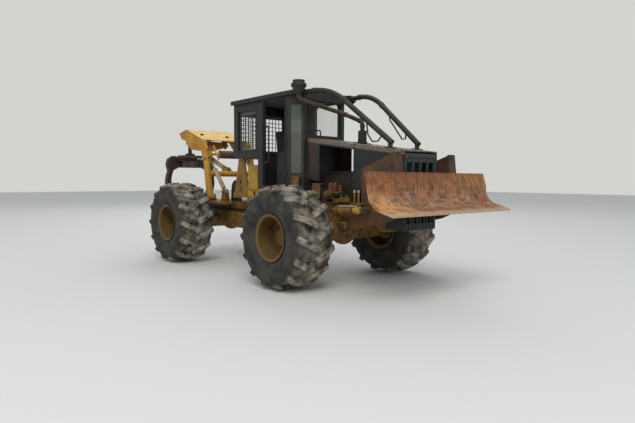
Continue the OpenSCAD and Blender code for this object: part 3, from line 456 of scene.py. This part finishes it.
class SkidderFinish(bpy.types.PropertyGroup):
    """Colours of the machine's paint, rust, rubber and glass."""

    frame_yellow: swatch("Frame yellow", "#8f6c20", "Dirty enamel of the frames and axles")
    frame_faded: swatch("Faded frame yellow", "#6f5527", "The same enamel where it is chalked")
    arch_yellow: swatch("Arch yellow", "#cf9a26", "Brighter enamel of the rear arch")
    arch_faded: swatch("Faded arch yellow", "#a8741f", "The same enamel where it is worn")
    # Paler yellow on the arch's up-facing faces: partly bleached paint, partly a painted highlight from the
    # sky
    arch_top_bleach_and_highlight: swatch("Arch top yellow", "#e8c75c", "Bleached enamel on the arch's cover")
    tank_yellow: swatch("Tank yellow", "#b9952f", "Enamel of the boxes behind the cab")
    tank_faded: swatch("Faded tank yellow", "#98792a", "The same enamel where it is chalked")
    head_grey: swatch("Swivel grey", "#8d8a83", "Worn casting above the tongs")
    charcoal: swatch("Cab charcoal", "#111314", "Enamel of the cab, roof and limb risers")
    charcoal_faded: swatch("Faded charcoal", "#202222", "The same enamel where it is chalked")
    hood_brown: swatch("Hood brown", "#33251f", "Oxidised hood panels")
    hood_grey: swatch("Hood grey", "#4a3a30", "Hood panels where paint is left")
    teal: swatch("Guard teal", "#1c2627", "Grey-green radiator guard")
    teal_faded: swatch("Faded teal", "#2f3b3b", "The same paint where it is bleached")
    blade_orange: swatch("Blade orange", "#98572b", "Bright rust of the blade")
    blade_brown: swatch("Blade brown", "#5f3421", "Darker rust of the blade")
    blade_ochre: swatch("Blade ochre", "#dd9f42", "Scraped patches of the blade")
    blade_pale: swatch("Worn edge", "#c6ab8b", "Scoured steel at the cutting edge")
    arm_brown: swatch("Arm brown", "#38241a", "Rust of the blade arms and the tongs")
    arm_light: swatch("Light arm brown", "#63401f", "Lighter rust of the blade arms")
    cream: swatch("Cylinder cream", "#c4b78f", "Bleached enamel of the arch cylinders")
    cream_dark: swatch("Dark cream", "#96855c", "The same enamel where it is grimy")
    roller: swatch("Roller red", "#6d4038", "Red oxide of the arch roller")
    # Rim ochre is dusty paint, darkened further with painted shade from the wheel dish
    rim_paint_and_shade: swatch("Rim ochre", "#5a4214", "Dusty enamel of the rims")
    rust_dark: swatch("Dark rust", "#301c12", "Old rust in patches and runs")
    rust_light: swatch("Light rust", "#7c4624", "Fresh rust round the patches")
    rubber: swatch("Rubber", "#161717", "Tyre rubber")
    rubber_grey: swatch("Grey rubber", "#222323", "Tyre rubber greyed by the sun")
    soil: swatch("Soil", "#c0b5a0", "Dried soil on the tread")
    dust: swatch("Dust", "#7f745c", "Dust on what faces up")
    grime: swatch("Grime", "#2b2722", "Oily dirt in the grain of the paint")
    glass: swatch("Glass", "#566059", "Dusty cab glass")
    flake: swatch("Hood flakes", "#a39680", "Grey primer and ochre left on the hood's edge")
    hood_band: swatch("Hood band", "#4f4036", "Worn paint along the hood's top edge")
    hood_dark: swatch("Dark hood side", "#151b1b", "Dark enamel on the front of the hood's sides")
    pump_red: swatch("Filter red", "#6b2f20", "Enamel of the filters beside the engine")


class SkidderStage(bpy.types.PropertyGroup):
    """The stage and its lamps."""

    floor: swatch("Floor", "#e2e1dd", "Colour of the floor")
    backdrop: swatch("Backdrop", "#d3d3d0", "Colour behind the machine")
    sky_strength: FloatProperty(
        name="Fill light", description="Strength of the world light", default=0.62, min=0.0
    )
    key_power: FloatProperty(
        name="Key light", description="Power of the main lamp", default=2900.0, min=0.0, unit="POWER"
    )
    floor_size: FloatProperty(
        name="Floor size", description="Side of the floor", default=120.0, min=10.0, unit="LENGTH"
    )
    bolt_count: IntProperty(
        name="Wheel nuts", description="Nuts on each wheel disc", default=12, min=4, max=24
    )


def finishes():
    """The machine's finishes by name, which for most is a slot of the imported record."""
    look = bpy.context.scene.skidder_finish
    brown = (look.rust_dark, look.arm_light)
    hood_turns = [(0, 1.35, 1.6, look.hood_dark)]
    pipe_turns = [(0, 1.75, 1.9, look.charcoal), (2, 3.17, 3.2, look.charcoal)]
    # Name, paint, faded paint, wear, streaks, dust and seed, then what only some have
    enamels = {
        "frame_yellow": ("Frame enamel, weathered", look.frame_yellow, look.frame_faded, 0.5, 0.55, 0.45),
        "charcoal_paint": ("Cab enamel, chalked", look.charcoal, look.charcoal_faded, 0.2, 0.25, 0.3, 11),
        "hood_rust": (
            "Hood sheet, oxidised", look.hood_brown, look.hood_grey, 0.3, 0.3, 0.4, 23,
            look.dust, brown, hood_turns, 0.9,
        ),
        "intake": (
            "Intake pipe, oxidised", look.arm_brown, look.hood_grey, 0.3, 0.3, 0.3, 29,
            look.dust, brown, pipe_turns,
        ),
        "filter_red": ("Filter enamel, red", look.pump_red, look.arm_light, 0.3, 0.3, 0.3, 37),
        "guard_teal": ("Guard enamel, teal", look.teal, look.teal_faded, 0.28, 0.3, 0.35, 31),
        "arm_rust": ("Arm plate, rusted", look.arm_brown, look.arm_light, 0.45, 0.4, 0.25, 41),
        # The arch's high dust share lays its pale top colour over up-facing faces, partly as a painted
        # highlight
        "arch_yellow": (
            "Arch enamel, bright", look.arch_yellow, look.arch_faded, 0.22, 0.3, 0.95, 53, look.arch_top_bleach_and_highlight,
        ),
        "tank_yellow": ("Tank enamel, yellow", look.tank_yellow, look.tank_faded, 0.3, 0.4, 0.3, 59),
        "head_grey": ("Swivel casting, grey", look.head_grey, look.grime, 0.3, 0.5, 0.4, 67),
        "barrel_cream": ("Cylinder enamel, cream", look.cream, look.cream_dark, 0.15, 0.25, 0.2, 61),
        "roller_red": ("Roller steel, red oxide", look.roller, look.arm_light, 0.4, 0.3, 0.2, 71),
        "grapple_dark": ("Tong plate, rusted", look.arm_brown, look.rust_dark, 0.35, 0.3, 0.25, 83),
        # The rims' colour holds painted shade from the wheel dish besides their dusty paint
        "rim_ochre": ("Rim enamel, ochre", look.rim_paint_and_shade, look.frame_faded, 0.35, 0.3, 0.25, 97),
    }
    # Name, colour, dark colour, roughness, metallic and the size of a patch
    metals = {
        "rod_steel": ("Chromed rod, hard", "#b9b9b5", "#8f8c86", 0.22, 1.0, 60),
        "engine_iron": ("Cast iron, oily", "#3a2c22", "#1d1a17", 0.5, 0.25, 30),
        "mesh_steel": ("Guard wire, galvanised", "#7b7d7c", "#565654", 0.5, 0.5, 20),
    }
    return {
        **{finish: old_enamel(*row) for finish, row in enamels.items()},
        **{finish: plain_metal(*row) for finish, row in metals.items()},
        "blade_rust": blade_steel("Blade steel, scoured"),
        "window_glass": dusty_glass("Cab glass, dusty"),
        "seat_cover": seat_cloth("Cushion cloth, black", "#1c1c1d", "#2d2c2b"),
        "tyre_front": field_rubber("Tyre rubber, front", 0.0),
        "tyre_rear": field_rubber("Tyre rubber, rear", REAR_X),
    }


class SKIDDER_OT_finish_nodes(bpy.types.Operator):
    """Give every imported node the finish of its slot, or one of its own"""

    bl_idname = "skidder.finish_nodes"
    bl_label = "Finish the packed nodes"

    def execute(self, context):
        FINISHES.update(finishes())
        own = {"intake_pipe": "intake", "side_tanks": "tank_yellow", "grapple_head": "head_grey"}
        slots = {row["node"]: row["material_slot"] for row in frame["record"]["subparts"]}
        for node, obj in frame["nodes"].items():
            finish = own.get(node, slots[node])
            if finish == "tyre_rubber":
                finish = "tyre_front" if "front" in node else "tyre_rear"
            obj.data.materials.clear()
            obj.data.materials.append(FINISHES[finish])
        return {"FINISHED"}


class SKIDDER_OT_make_stage(bpy.types.Operator):
    """Set up the floor, the lamps and the camera"""

    bl_idname = "skidder.make_stage"
    bl_label = "Make the stage"

    def execute(self, context):
        scene = context.scene
        look = scene.skidder_stage
        # Camera where the photograph was taken from, in metres, degrees and millimetres of lens
        yaw, pitch, roll = math.radians(139.18), math.radians(-3.567), math.radians(0.274)
        way = Vector((math.cos(pitch) * math.cos(yaw), math.cos(pitch) * math.sin(yaw), math.sin(pitch)))
        right = way.cross(Z_AXIS).normalized()
        up = right.cross(way)
        side = right * math.cos(roll) + up * math.sin(roll)
        top = up * math.cos(roll) - right * math.sin(roll)
        camera = bpy.data.objects.new("Camera", bpy.data.cameras.new("Camera"))
        turned = Matrix((side, top, -way)).transposed().to_4x4()
        place = (8.085, -6.118, 1.700)
        camera.matrix_world = Matrix.Translation(place) @ turned
        camera.data.sensor_width = 36.0
        camera.data.lens = 29.66
        camera.data.clip_end = 500.0
        scene.collection.objects.link(camera)
        scene.camera = camera
        # Floor
        floor, _, shader, _ = new_material("Floor, matt")
        set_inputs(shader, {"Base Color": rgba(look.floor), "Roughness": 0.95})
        bm = bmesh.new()
        bmesh.ops.create_grid(bm, x_segments=1, y_segments=1, size=look.floor_size / 2)
        mesh = bpy.data.meshes.new("Floor")
        bm.to_mesh(mesh)
        bm.free()
        mesh.materials.append(floor)
        ground = bpy.data.objects.new("Floor", mesh)
        scene.collection.objects.link(ground)
        # World: one pale tone behind, a soft even fill on the machine
        world = bpy.data.worlds.new("Studio")
        world.use_nodes = True
        world.node_tree.nodes.clear()
        add = partial(add_node, world.node_tree)
        path = add("LightPath").outputs
        seen = path["Is Camera Ray"]
        for ray in ("Is Glossy Ray", "Is Transmission Ray"):
            seen = add("Math", {0: seen, 1: path[ray]}, 0, operation="MAXIMUM")
        light = {"Color": rgba(linear("#e6ebf0")), "Strength": look.sky_strength}
        fill = add("Background", light, 0)
        behind = add("Background", {"Color": rgba(look.backdrop), "Strength": 1.0}, 0)
        mix = add("MixShader", {0: seen, 1: fill, 2: behind}, 0)
        add("OutputWorld", {"Surface": mix})
        scene.world = world
        # Soft key from the front right and above, and a weaker one from behind
        for name, place, power, size in (
            ("Key lamp", (14.0, -13.0, 18.0), look.key_power, 13.0),
            ("Back lamp", (-14.0, 10.0, 16.0), look.key_power * 0.35, 12.0),
        ):
            lamp = bpy.data.lights.new(name, "AREA")
            lamp.energy = power
            lamp.size = size
            holder = bpy.data.objects.new(name, lamp)
            holder.location = place
            way = Vector((0, 0, 1.2)) - Vector(place)
            holder.rotation_euler = way.to_track_quat("-Z", "Y").to_euler()
            scene.collection.objects.link(holder)
        scene.view_settings.view_transform = "Standard"
        return {"FINISHED"}


class SKIDDER_OT_make_tyres(bpy.types.Operator):
    """Mould the four tyres: a smooth casing with rounded lugs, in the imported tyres' shape"""

    bl_idname = "skidder.make_tyres"
    bl_label = "Make the tyres"

    def execute(self, context):
        # Outline of the casing from bead to bead, as [radius, distance from the middle plane]
        half = [
            (344, 276), (372, 292), (420, 319), (480, 345), (540, 360), (610, 362), (665, 354),
            (700, 338), (722, 300), (736, 230), (743, 150), (746, 60)
        ]
        outline = [*half, *[(r, -w) for r, w in reversed(half)]]

        def lug_top(along):
            side = LUG_WIDTH / 2 * math.cos(LUG_TURN) + abs(along) * math.sin(LUG_TURN)
            return math.sqrt(TYRE_R**2 - side**2)

        outer = (TYRE_HALF + 5 - LUG_WIDTH / 2 * math.sin(LUG_TURN)) / math.cos(LUG_TURN)
        foot = math.asin((LUG_WIDTH / 2 * math.cos(LUG_TURN) + 10 * math.sin(LUG_TURN)) / TYRE_R)
        # Outline of a lug, as [radius, distance along it from the middle of the tread]
        profile = [
            (640, -10),
            (lug_top(10), -10),
            (lug_top(110) + 3, 110),
            (lug_top(215), 215),
            (lug_top(300) - 22, 300),
            (lug_top(215) - 59, outer - 6),
            (660, outer),
        ]
        lug = [Vector((r / 1000, -LUG_WIDTH / 2000, a / 1000)) for r, a in profile]
        for place, (x, side) in WHEELS.items():
            bm = bmesh.new()
            # The casing is spun about the wheel's axis
            add_turned(bm, outline, Vector(), Y_AXIS, X_AXIS, 84)
            for i in range(LUGS):
                for flip in (-1, 1):
                    one = bmesh.new()
                    add_plate(one, lug, Vector((0, LUG_WIDTH / 1000, 0)))
                    bmesh.ops.recalc_face_normals(one, faces=one.faces)
                    add_rounding(one, one.edges[:], 0.011)
                    angle = (i + (0 if flip > 0 else 0.5)) * math.tau / LUGS - math.pi / 2 + foot
                    # Turned out of the axis, put on its side of the tyre, then round the wheel
                    turn = Matrix.Rotation(math.pi / 2, 4, "X") @ Matrix.Rotation(angle, 4, "Z")
                    turn = turn @ Matrix.Diagonal((1, 1, flip, 1)) @ Matrix.Rotation(-LUG_TURN, 4, "X")
                    bmesh.ops.transform(one, matrix=turn, verts=one.verts)
                    held = bpy.data.meshes.new("lug")
                    one.to_mesh(held)
                    one.free()
                    bm.from_mesh(held)
                    bpy.data.meshes.remove(held)
            bmesh.ops.translate(bm, vec=at(x, side * WHEEL_Y, WHEEL_Z), verts=bm.verts)
            finish = "tyre_front" if "front" in place else "tyre_rear"
            tyre = finished(bm, "tyre_moulded_" + place, "wheel_" + place, finish, smooth=True)
            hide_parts("tyre_" + place)
        return {"FINISHED"}


class SKIDDER_OT_make_wheel_fittings(bpy.types.Operator):
    """Make the hub covers, wheel nuts and valves"""

    bl_idname = "skidder.make_wheel_fittings"
    bl_label = "Make the wheel fittings"

    def execute(self, context):
        nuts = context.scene.skidder_stage.bolt_count
        for place, (x, side) in WHEELS.items():
            bm = bmesh.new()
            out = Vector((0, side, 0))
            disc = at(x, side * 1228, WHEEL_Z)
            # Hub cover over the end of the axle
            cover = [(114, 0), (156, 0), (156, 52), (138, 74), (60, 82), (0, 82), (0, 66), (112, 64)]
            add_turned(bm, [(r, side * w) for r, w in cover], disc, Y_AXIS, X_AXIS, 40)
            # Nuts on the disc, then small bolts on the cover
            for count, start, radius, depth, size in ((nuts, 0, 0.205, 0, 34), (8, 0.5, 0.145, 0.052, 17)):
                for i in range(count):
                    turn = (i + start) * math.tau / count
                    spoke = Vector((math.cos(turn), 0, math.sin(turn)))
                    add_bolt(bm, disc + out * depth + spoke * radius, out, size)
            # Valve stem in the dish
            add_rod(bm, disc + Vector((0.262, 0, 0)), disc + Vector((0.262, side * 0.07, 0)), 8, 10)
            # Hub fittings take the rims' paint, whose darkness is partly painted shade
            finished(bm, "hub_fittings_" + place, "wheel_" + place, "rim_ochre", smooth=True)
        return {"FINISHED"}


class SKIDDER_OT_make_cab_fittings(bpy.types.Operator):
    """Make the grab bars, riser handles, roof brackets, gutters and hinges of the cab"""

    bl_idname = "skidder.make_cab_fittings"
    bl_label = "Make the cab fittings"

    def execute(self, context):
        bm = bmesh.new()
        # Grab bar at the rear edge of each doorway
        bar = [
            (-1462, -618, 2640), (-1345, -618, 2640), (-1300, -618, 2600), (-1296, -618, 2320),
            (-1300, -618, 2040), (-1345, -618, 1995), (-1462, -618, 1995)
        ]
        add_tube(bm, smooth_route([at(*p) for p in bar]), 14, 12)
        # Brackets of the risers on the roof's front corners
        add_block(bm, (-760, -632, 3184), (-395, -505, 3198), 4)
        outline = [at(-425, -584, z) for z in (3022, 3196)] + [at(-312, -584, z) for z in (3172, 3085)]
        add_plate(bm, outline, Vector((0, -0.016, 0)))
        # Gutter along the roof's side, door frame strips and hinges
        add_block(bm, (-2462, -694, 3108), (-690, -683, 3130), 3)
        for x in (-1446, -774):
            add_block(bm, (x - 9, -CAB_SIDE - 12, 1600), (x + 9, -CAB_SIDE, 3000), 4)
        for z in (1800, 2300, 2800):
            add_rod(bm, at(-748, -648, z - 45), at(-748, -648, z + 45), 15, 14)
            add_block(bm, (-748, -CAB_SIDE - 10, z - 30), (-712, -CAB_SIDE, z + 30), 3)
        # Frame of the rear side window
        for z in (2214, 2960):
            add_block(bm, (-2286, -CAB_SIDE - 10, z), (-1664, -CAB_SIDE, z + 16), 3)
        for x in (-2286, -1680):
            add_block(bm, (x, -CAB_SIDE - 9, 2224), (x + 16, -CAB_SIDE - 1, 2966), 3)
        mirrored(bm)
        # Handles under the risers
        near = [
            (885, -371, 2588), (940, -395, 2370), (1040, -400, 2256), (1142, -385, 2262), (1175, -330, 2360)
        ]
        far = [
            (640, 408, 2780), (653, 430, 2650), (690, 430, 2612), (940, 395, 2338), (1024, 375, 2340),
            (1058, 346, 2450)
        ]
        for route in (near, far):
            add_tube(bm, [at(*p) for p in route], 12, 10)
        finished(bm, "cab_fittings", "front_frame", "charcoal_paint", smooth=True)

        # Flared bowl below the pre-cleaner's cap
        bm = bmesh.new()
        middle = at(-370, -672, 0)
        lower = [(40, 3096), (70, 3100), (100, 3150), (104, 3200)]
        upper = [(126, 3208), (130, 3250), (118, 3266), (40, 3268)]
        add_turned(bm, lower + upper, middle, Z_AXIS, X_AXIS, 36)
        finished(bm, "precleaner_bowl", "front_frame", "charcoal_paint", smooth=True)
        return {"FINISHED"}


class SKIDDER_OT_make_engine_fittings(bpy.types.Operator):
    """Make the brackets, valves, filters and pipes beside the engine, and the front guard's trim"""

    bl_idname = "skidder.make_engine_fittings"
    bl_label = "Make the engine fittings"

    def execute(self, context):
        # Yellow brackets under the cab's front corner and beside the engine
        bm = bmesh.new()
        for y, outline in (
            (-600, [(-700, 1745), (-465, 1745), (-465, 1574), (-560, 1530), (-700, 1530)]),
            (-452, [(-288, 1624), (-86, 1624), (-86, 1420), (-130, 1310), (-240, 1310), (-288, 1420)]),
        ):
            add_plate(bm, [at(x, y, z) for x, z in outline], Vector((0, 0.014, 0)))
        add_block(bm, (-700, -602, 1736), (-465, -545, 1750), 3)
        add_block(bm, (-290, -456, 1612), (-84, -385, 1628), 3)
        add_block(bm, (-240, -452, 1300), (-130, -370, 1325), 3)
        for x in (-650, -510):
            add_bolt(bm, at(x, -600, 1640), -Y_AXIS, 26)
        for x in (-240, -135):
            add_bolt(bm, at(x, -452, 1580), -Y_AXIS, 24)
        mirrored(bm)
        finished(bm, "cab_brackets", "front_frame", "frame_yellow")

        # Control valves on both rails, with their spools and ports
        bm = bmesh.new()
        add_block(bm, (20, -462, 1375), (210, -366, 1480), 8)
        add_block(bm, (0, -470, 1478), (345, -288, 1492), 3)
        for i in range(4):
            x = 45 + i * 45
            add_rod(bm, at(x, -420, 1475), at(x, -420, 1515), 13, 14)
            add_rod(bm, at(x, -462, 1425), at(x, -486, 1425), 15, 6)
        add_block(bm, (355, -448, 1330), (560, -366, 1405), 8)
        add_block(bm, (205, -440, 1320), (360, -366, 1390), 4)
        for x in (400, 515):
            add_rod(bm, at(x, -412, 1400), at(x, -412, 1440), 24, 16)
        mirrored(bm)
        finished(bm, "control_valves", "front_frame", "frame_yellow", smooth=True)

        # Three filters beside the engine, on the right
        bm = bmesh.new()
        for x, y, z, length, radius in (
            (60, -335, 1490, 130, 44), (165, -335, 1490, 130, 44), (295, -345, 1490, 92, 36)
        ):
            add_rod(bm, at(x, y, z), at(x, y, z + length), radius, 24)
            add_rod(bm, at(x, y, z + length), at(x, y, z + length + 22), radius * 0.7, 24, radius * 0.4)
            add_ring(bm, at(x, y, z + 12), Z_AXIS, radius, 4)
        finished(bm, "engine_filters", "front_frame", "filter_red", smooth=True)

        # Steel pipes from the right valves to the block ahead of them and back along the rail
        bm = bmesh.new()
        routes = [
            [(45, -488, 1425), (45, -510, 1400), (90, -512, 1340), (300, -470, 1300), (440, -402, 1290)],
            [(90, -488, 1425), (92, -505, 1380), (150, -500, 1325), (330, -455, 1285), (450, -400, 1262)],
            [(135, -488, 1425), (170, -505, 1430), (300, -490, 1430), (400, -445, 1438)],
            [(180, -488, 1425), (230, -500, 1445), (340, -480, 1460), (420, -430, 1455), (515, -412, 1440)],
            [
                (22, -420, 1430), (-60, -430, 1440), (-220, -400, 1400), (-420, -386, 1360),
                (-900, -386, 1352)
            ],
            [
                (22, -400, 1400), (-80, -400, 1380), (-300, -388, 1350), (-700, -386, 1338),
                (-1200, -386, 1338)
            ],
        ]
        for route in routes:
            add_tube(bm, smooth_route([at(*p) for p in route]), 10, 10)
        finished(bm, "hydraulic_pipes", "front_frame", "engine_iron", smooth=True)

        # Ribs low on the radiator guard, and the rail above them
        bm = bmesh.new()
        for i in range(9):
            y = -320 + i * 80
            add_block(bm, (GUARD_FRONT, y - 9, 972), (GUARD_FRONT + 13, y + 9, 1150), 3)
        add_block(bm, (GUARD_FRONT, -345, 1150), (GUARD_FRONT + 11, 345, 1166), 3)
        finished(bm, "guard_ribs", "front_frame", "guard_teal")

        # Top rail, upright bars and bolts of the guard
        bm = bmesh.new()
        add_block(bm, (GUARD_FRONT, -362, 2010), (GUARD_FRONT + 15, 362, 2070), 4)
        for i in range(3):
            y = -182 + i * 165
            add_block(bm, (GUARD_FRONT - 3, y - 16, 1250), (GUARD_FRONT + 11, y + 16, 1990), 4)
        for y in (-340, 340):
            for z in (1250, 1500, 1750, 1980):
                add_bolt(bm, at(GUARD_FRONT + 1, y, z), X_AXIS, 24)
        # Post at the front edge of the hood's side opening, and latches low on the hood's side
        for side in (-HOOD_SIDE, HOOD_SIDE):
            y0, y1 = sorted((side, side * 0.98))
            add_block(bm, (628, y0, 1500), (652, y1, 2240), 3)
            for x in (200, 900, 1250):
                add_block(bm, (x, y0, 1560), (x + 60, y1, 1584), 3)
        finished(bm, "guard_frame", "front_frame", "guard_teal")
        return {"FINISHED"}


class SKIDDER_OT_make_blade_fittings(bpy.types.Operator):
    """Make the blade's prong brackets, bead and bolts, and the heads and pipes of its cylinders"""

    bl_idname = "skidder.make_blade_fittings"
    bl_label = "Make the blade fittings"

    def execute(self, context):
        # Two-prong bracket on each arm, with pale tips
        bm = bmesh.new()
        add_block(bm, (1015, -764, 1330), (1130, -640, 1350), 4)
        for x in (1018, 1098):
            add_block(bm, (x, -764, 1345), (x + 28, -742, 1530), 5)
        mirrored(bm)
        finished(bm, "blade_prongs", "blade", "frame_yellow")
        bm = bmesh.new()
        for x in (1018, 1098):
            add_block(bm, (x - 2, -766, 1500), (x + 30, -740, 1538), 6)
        mirrored(bm)
        finished(bm, "prong_tips", "blade", "barrel_cream")
        # Long heads of the lift cylinders, with a pipe along each
        base, eye = at(560, -710, 1222), at(1215, -710, 1258)
        way = (eye - base).normalized()
        bm = bmesh.new()
        add_turned(bm, [(28, 435), (53, 435), (53, 545), (46, 560), (28, 560)], base, way, -Y_AXIS, 32)
        for a in (0.16, 0.34):
            add_ring(bm, base + way * a, way, 47, 6, 32, 6)
        mirrored(bm)
        finished(bm, "lift_cylinder_heads", "blade_barrels", "tank_yellow", smooth=True)
        bm = bmesh.new()
        rise = Vector((0, -0.03, 0.052))
        route = [
            base + way * 0.09 + rise * 0.8,
            base + way * 0.13 + rise * 1.12,
            base + way * 0.3 + rise * 1.12,
            base + way * 0.47 + rise * 1.12,
            base + way * 0.52 + rise * 0.85,
        ]
        add_tube(bm, smooth_route(route), 11, 12)
        mirrored(bm)
        finished(bm, "lift_cylinder_pipes", "blade_barrels", "barrel_cream", smooth=True)
        # Rolled bead along the blade's top
        bm = bmesh.new()
        add_tube(bm, [at(1808, y, 1788) for y in (-1345, -600, 0, 600, 1345)], 9, 8)
        finished(bm, "blade_bead", "blade", "blade_rust", smooth=True)
        # Pin heads and bolts on the arms
        bm = bmesh.new()
        for x, y, z, size in ((1215, -762, 1258, 46), (700, -678, 1000, 60), (560, -772, 1222, 44)):
            add_bolt(bm, at(x, y, z), -Y_AXIS, size)
        for x, z in ((1640, 1900), (1640, 1500), (1180, 1120), (1180, 1700)):
            add_bolt(bm, at(x, -ARM_SIDE, z), -Y_AXIS, 30)
        mirrored(bm)
        finished(bm, "arm_bolts", "blade", "arm_rust")
        return {"FINISHED"}


class SKIDDER_OT_make_rear_fittings(bpy.types.Operator):
    """Make the fittings of the arch, the boom, the rear frame and the side tanks"""

    bl_idname = "skidder.make_rear_fittings"
    bl_label = "Make the rear fittings"

    def execute(self, context):
        # Flanges, stays and pin heads of the arch
        bm = bmesh.new()
        flange = [(-3655, 2298), (-3640, 2306), (-3752, 2530), (-3768, 2524)]
        add_plate(bm, [at(x, -604, z) for x, z in flange], Vector((0, 0.085, 0)))
        add_rod(bm, at(-3641, -400, 2408), at(-3434, -400, 2102), 17, 12)
        for x, y, z, size in ((-3680, -ARCH_SIDE, 2105, 44), (-4170, -244, 2450, 54)):
            add_bolt(bm, at(x, y, z), -Y_AXIS, size)
        for x, z in ((-3900, 2440), (-4200, 2600), (-4450, 2650), (-3760, 2380)):
            add_bolt(bm, at(x, -ARCH_SIDE, z), -Y_AXIS, 28)
        mirrored(bm)
        finished(bm, "arch_fittings", "arch", "arch_yellow")
        # Two lifting lugs on the front slope of the cover
        bm = bmesh.new()
        slope = Vector((0.346, 0, 0.998)).normalized()
        for x, y in ((-4150, -400), (-4050, 180)):
            foot = at(x, y, 2536 + (-3772 - x) * 264 / 762)
            add_ring(bm, foot + slope * 0.012, slope, 30, 11, 24, 8)
            add_rod(bm, foot - slope * 0.004, foot + slope * 0.008, 42, 20)
        finished(bm, "cover_lugs", "arch", "engine_iron", smooth=True)
        # Pipes along the boom, held by blocks
        bm = bmesh.new()
        for y in (-124, 124):
            route = [(-4120, y, 2520), (-4400, y, 2500), (-4900, y, 2540), (-5380, y, 2570)]
            add_tube(bm, smooth_route([at(*p) for p in route]), 12, 10)
            y0, y1 = sorted((y, y * 0.86))
            for x, z in ((-4400, 2500), (-4900, 2540), (-5300, 2566)):
                add_block(bm, (x - 18, y0, z - 18), (x + 18, y1, z + 18), 3)
        finished(bm, "boom_pipes", "boom", "engine_iron", smooth=True)
        # Bolts and pipes of the rear frame
        bm = bmesh.new()
        for x in range(-4200, -2100, 150):
            if not -3700 < x < -3400:
                add_bolt(bm, at(x, -FRAME_SIDE, 1120), -Y_AXIS, 26)
        for x, y, z in ((-3520, -677, 1305), (-3070, -510, 1430)):
            add_bolt(bm, at(x, y, z), -Y_AXIS, 44)
        mirrored(bm)
        finished(bm, "rear_frame_bolts", "rear_frame", "frame_yellow")
        bm = bmesh.new()
        for y, z in ((-384, 1080), (-384, 1050), (384, 1065)):
            add_tube(bm, [at(x, y, z) for x in (-4150, -3400, -2800, -2060)], 11, 10)
        finished(bm, "rear_frame_pipes", "rear_frame", "engine_iron", smooth=True)
        # Straps and bolts of the side tanks
        bm = bmesh.new()
        for x in (-1870, -1690):
            add_block(bm, (x, -CAB_SIDE - 6, 1372), (x + 34, -CAB_SIDE + 2, 1952), 3)
        for x, z in ((-2400, 1400), (-2200, 1400), (-2000, 1400), (-2230, 2050), (-2130, 2050)):
            add_bolt(bm, at(x, -CAB_SIDE, z), -Y_AXIS, 26)
        mirrored(bm)
        finished(bm, "tank_fittings", "front_frame", "tank_yellow")
        return {"FINISHED"}


class SKIDDER_PT_panel(bpy.types.Panel):
    """The skidder's operators and settings"""

    bl_label = "Skidder"
    bl_idname = "SKIDDER_PT_panel"
    bl_space_type = "VIEW_3D"
    bl_region_type = "UI"
    bl_category = "Skidder"

    def draw(self, context):
        for operator in OPERATORS:
            self.layout.operator(operator.bl_idname)
        for name in SkidderStage.__annotations__:
            self.layout.prop(context.scene.skidder_stage, name)
        for name in SkidderFinish.__annotations__:
            self.layout.prop(context.scene.skidder_finish, name)


OPERATORS = (
    SKIDDER_OT_make_stage,
    SKIDDER_OT_finish_nodes,
    SKIDDER_OT_make_tyres,
    SKIDDER_OT_make_wheel_fittings,
    SKIDDER_OT_make_cab_fittings,
    SKIDDER_OT_make_engine_fittings,
    SKIDDER_OT_make_blade_fittings,
    SKIDDER_OT_make_rear_fittings,
)
CLASSES = (SkidderFinish, SkidderStage, *OPERATORS, SKIDDER_PT_panel)


def register():
    for cls in CLASSES:
        bpy.utils.register_class(cls)
    bpy.types.Scene.skidder_finish = PointerProperty(type=SkidderFinish)
    bpy.types.Scene.skidder_stage = PointerProperty(type=SkidderStage)


def unregister():
    del bpy.types.Scene.skidder_stage
    del bpy.types.Scene.skidder_finish
    for cls in reversed(CLASSES):
        bpy.utils.unregister_class(cls)


def main():
    """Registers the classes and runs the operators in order."""
    register()
    for operator in OPERATORS:
        group, name = operator.bl_idname.split(".")
        getattr(getattr(bpy.ops, group), name)()


if __name__ == "__main__":
    main()
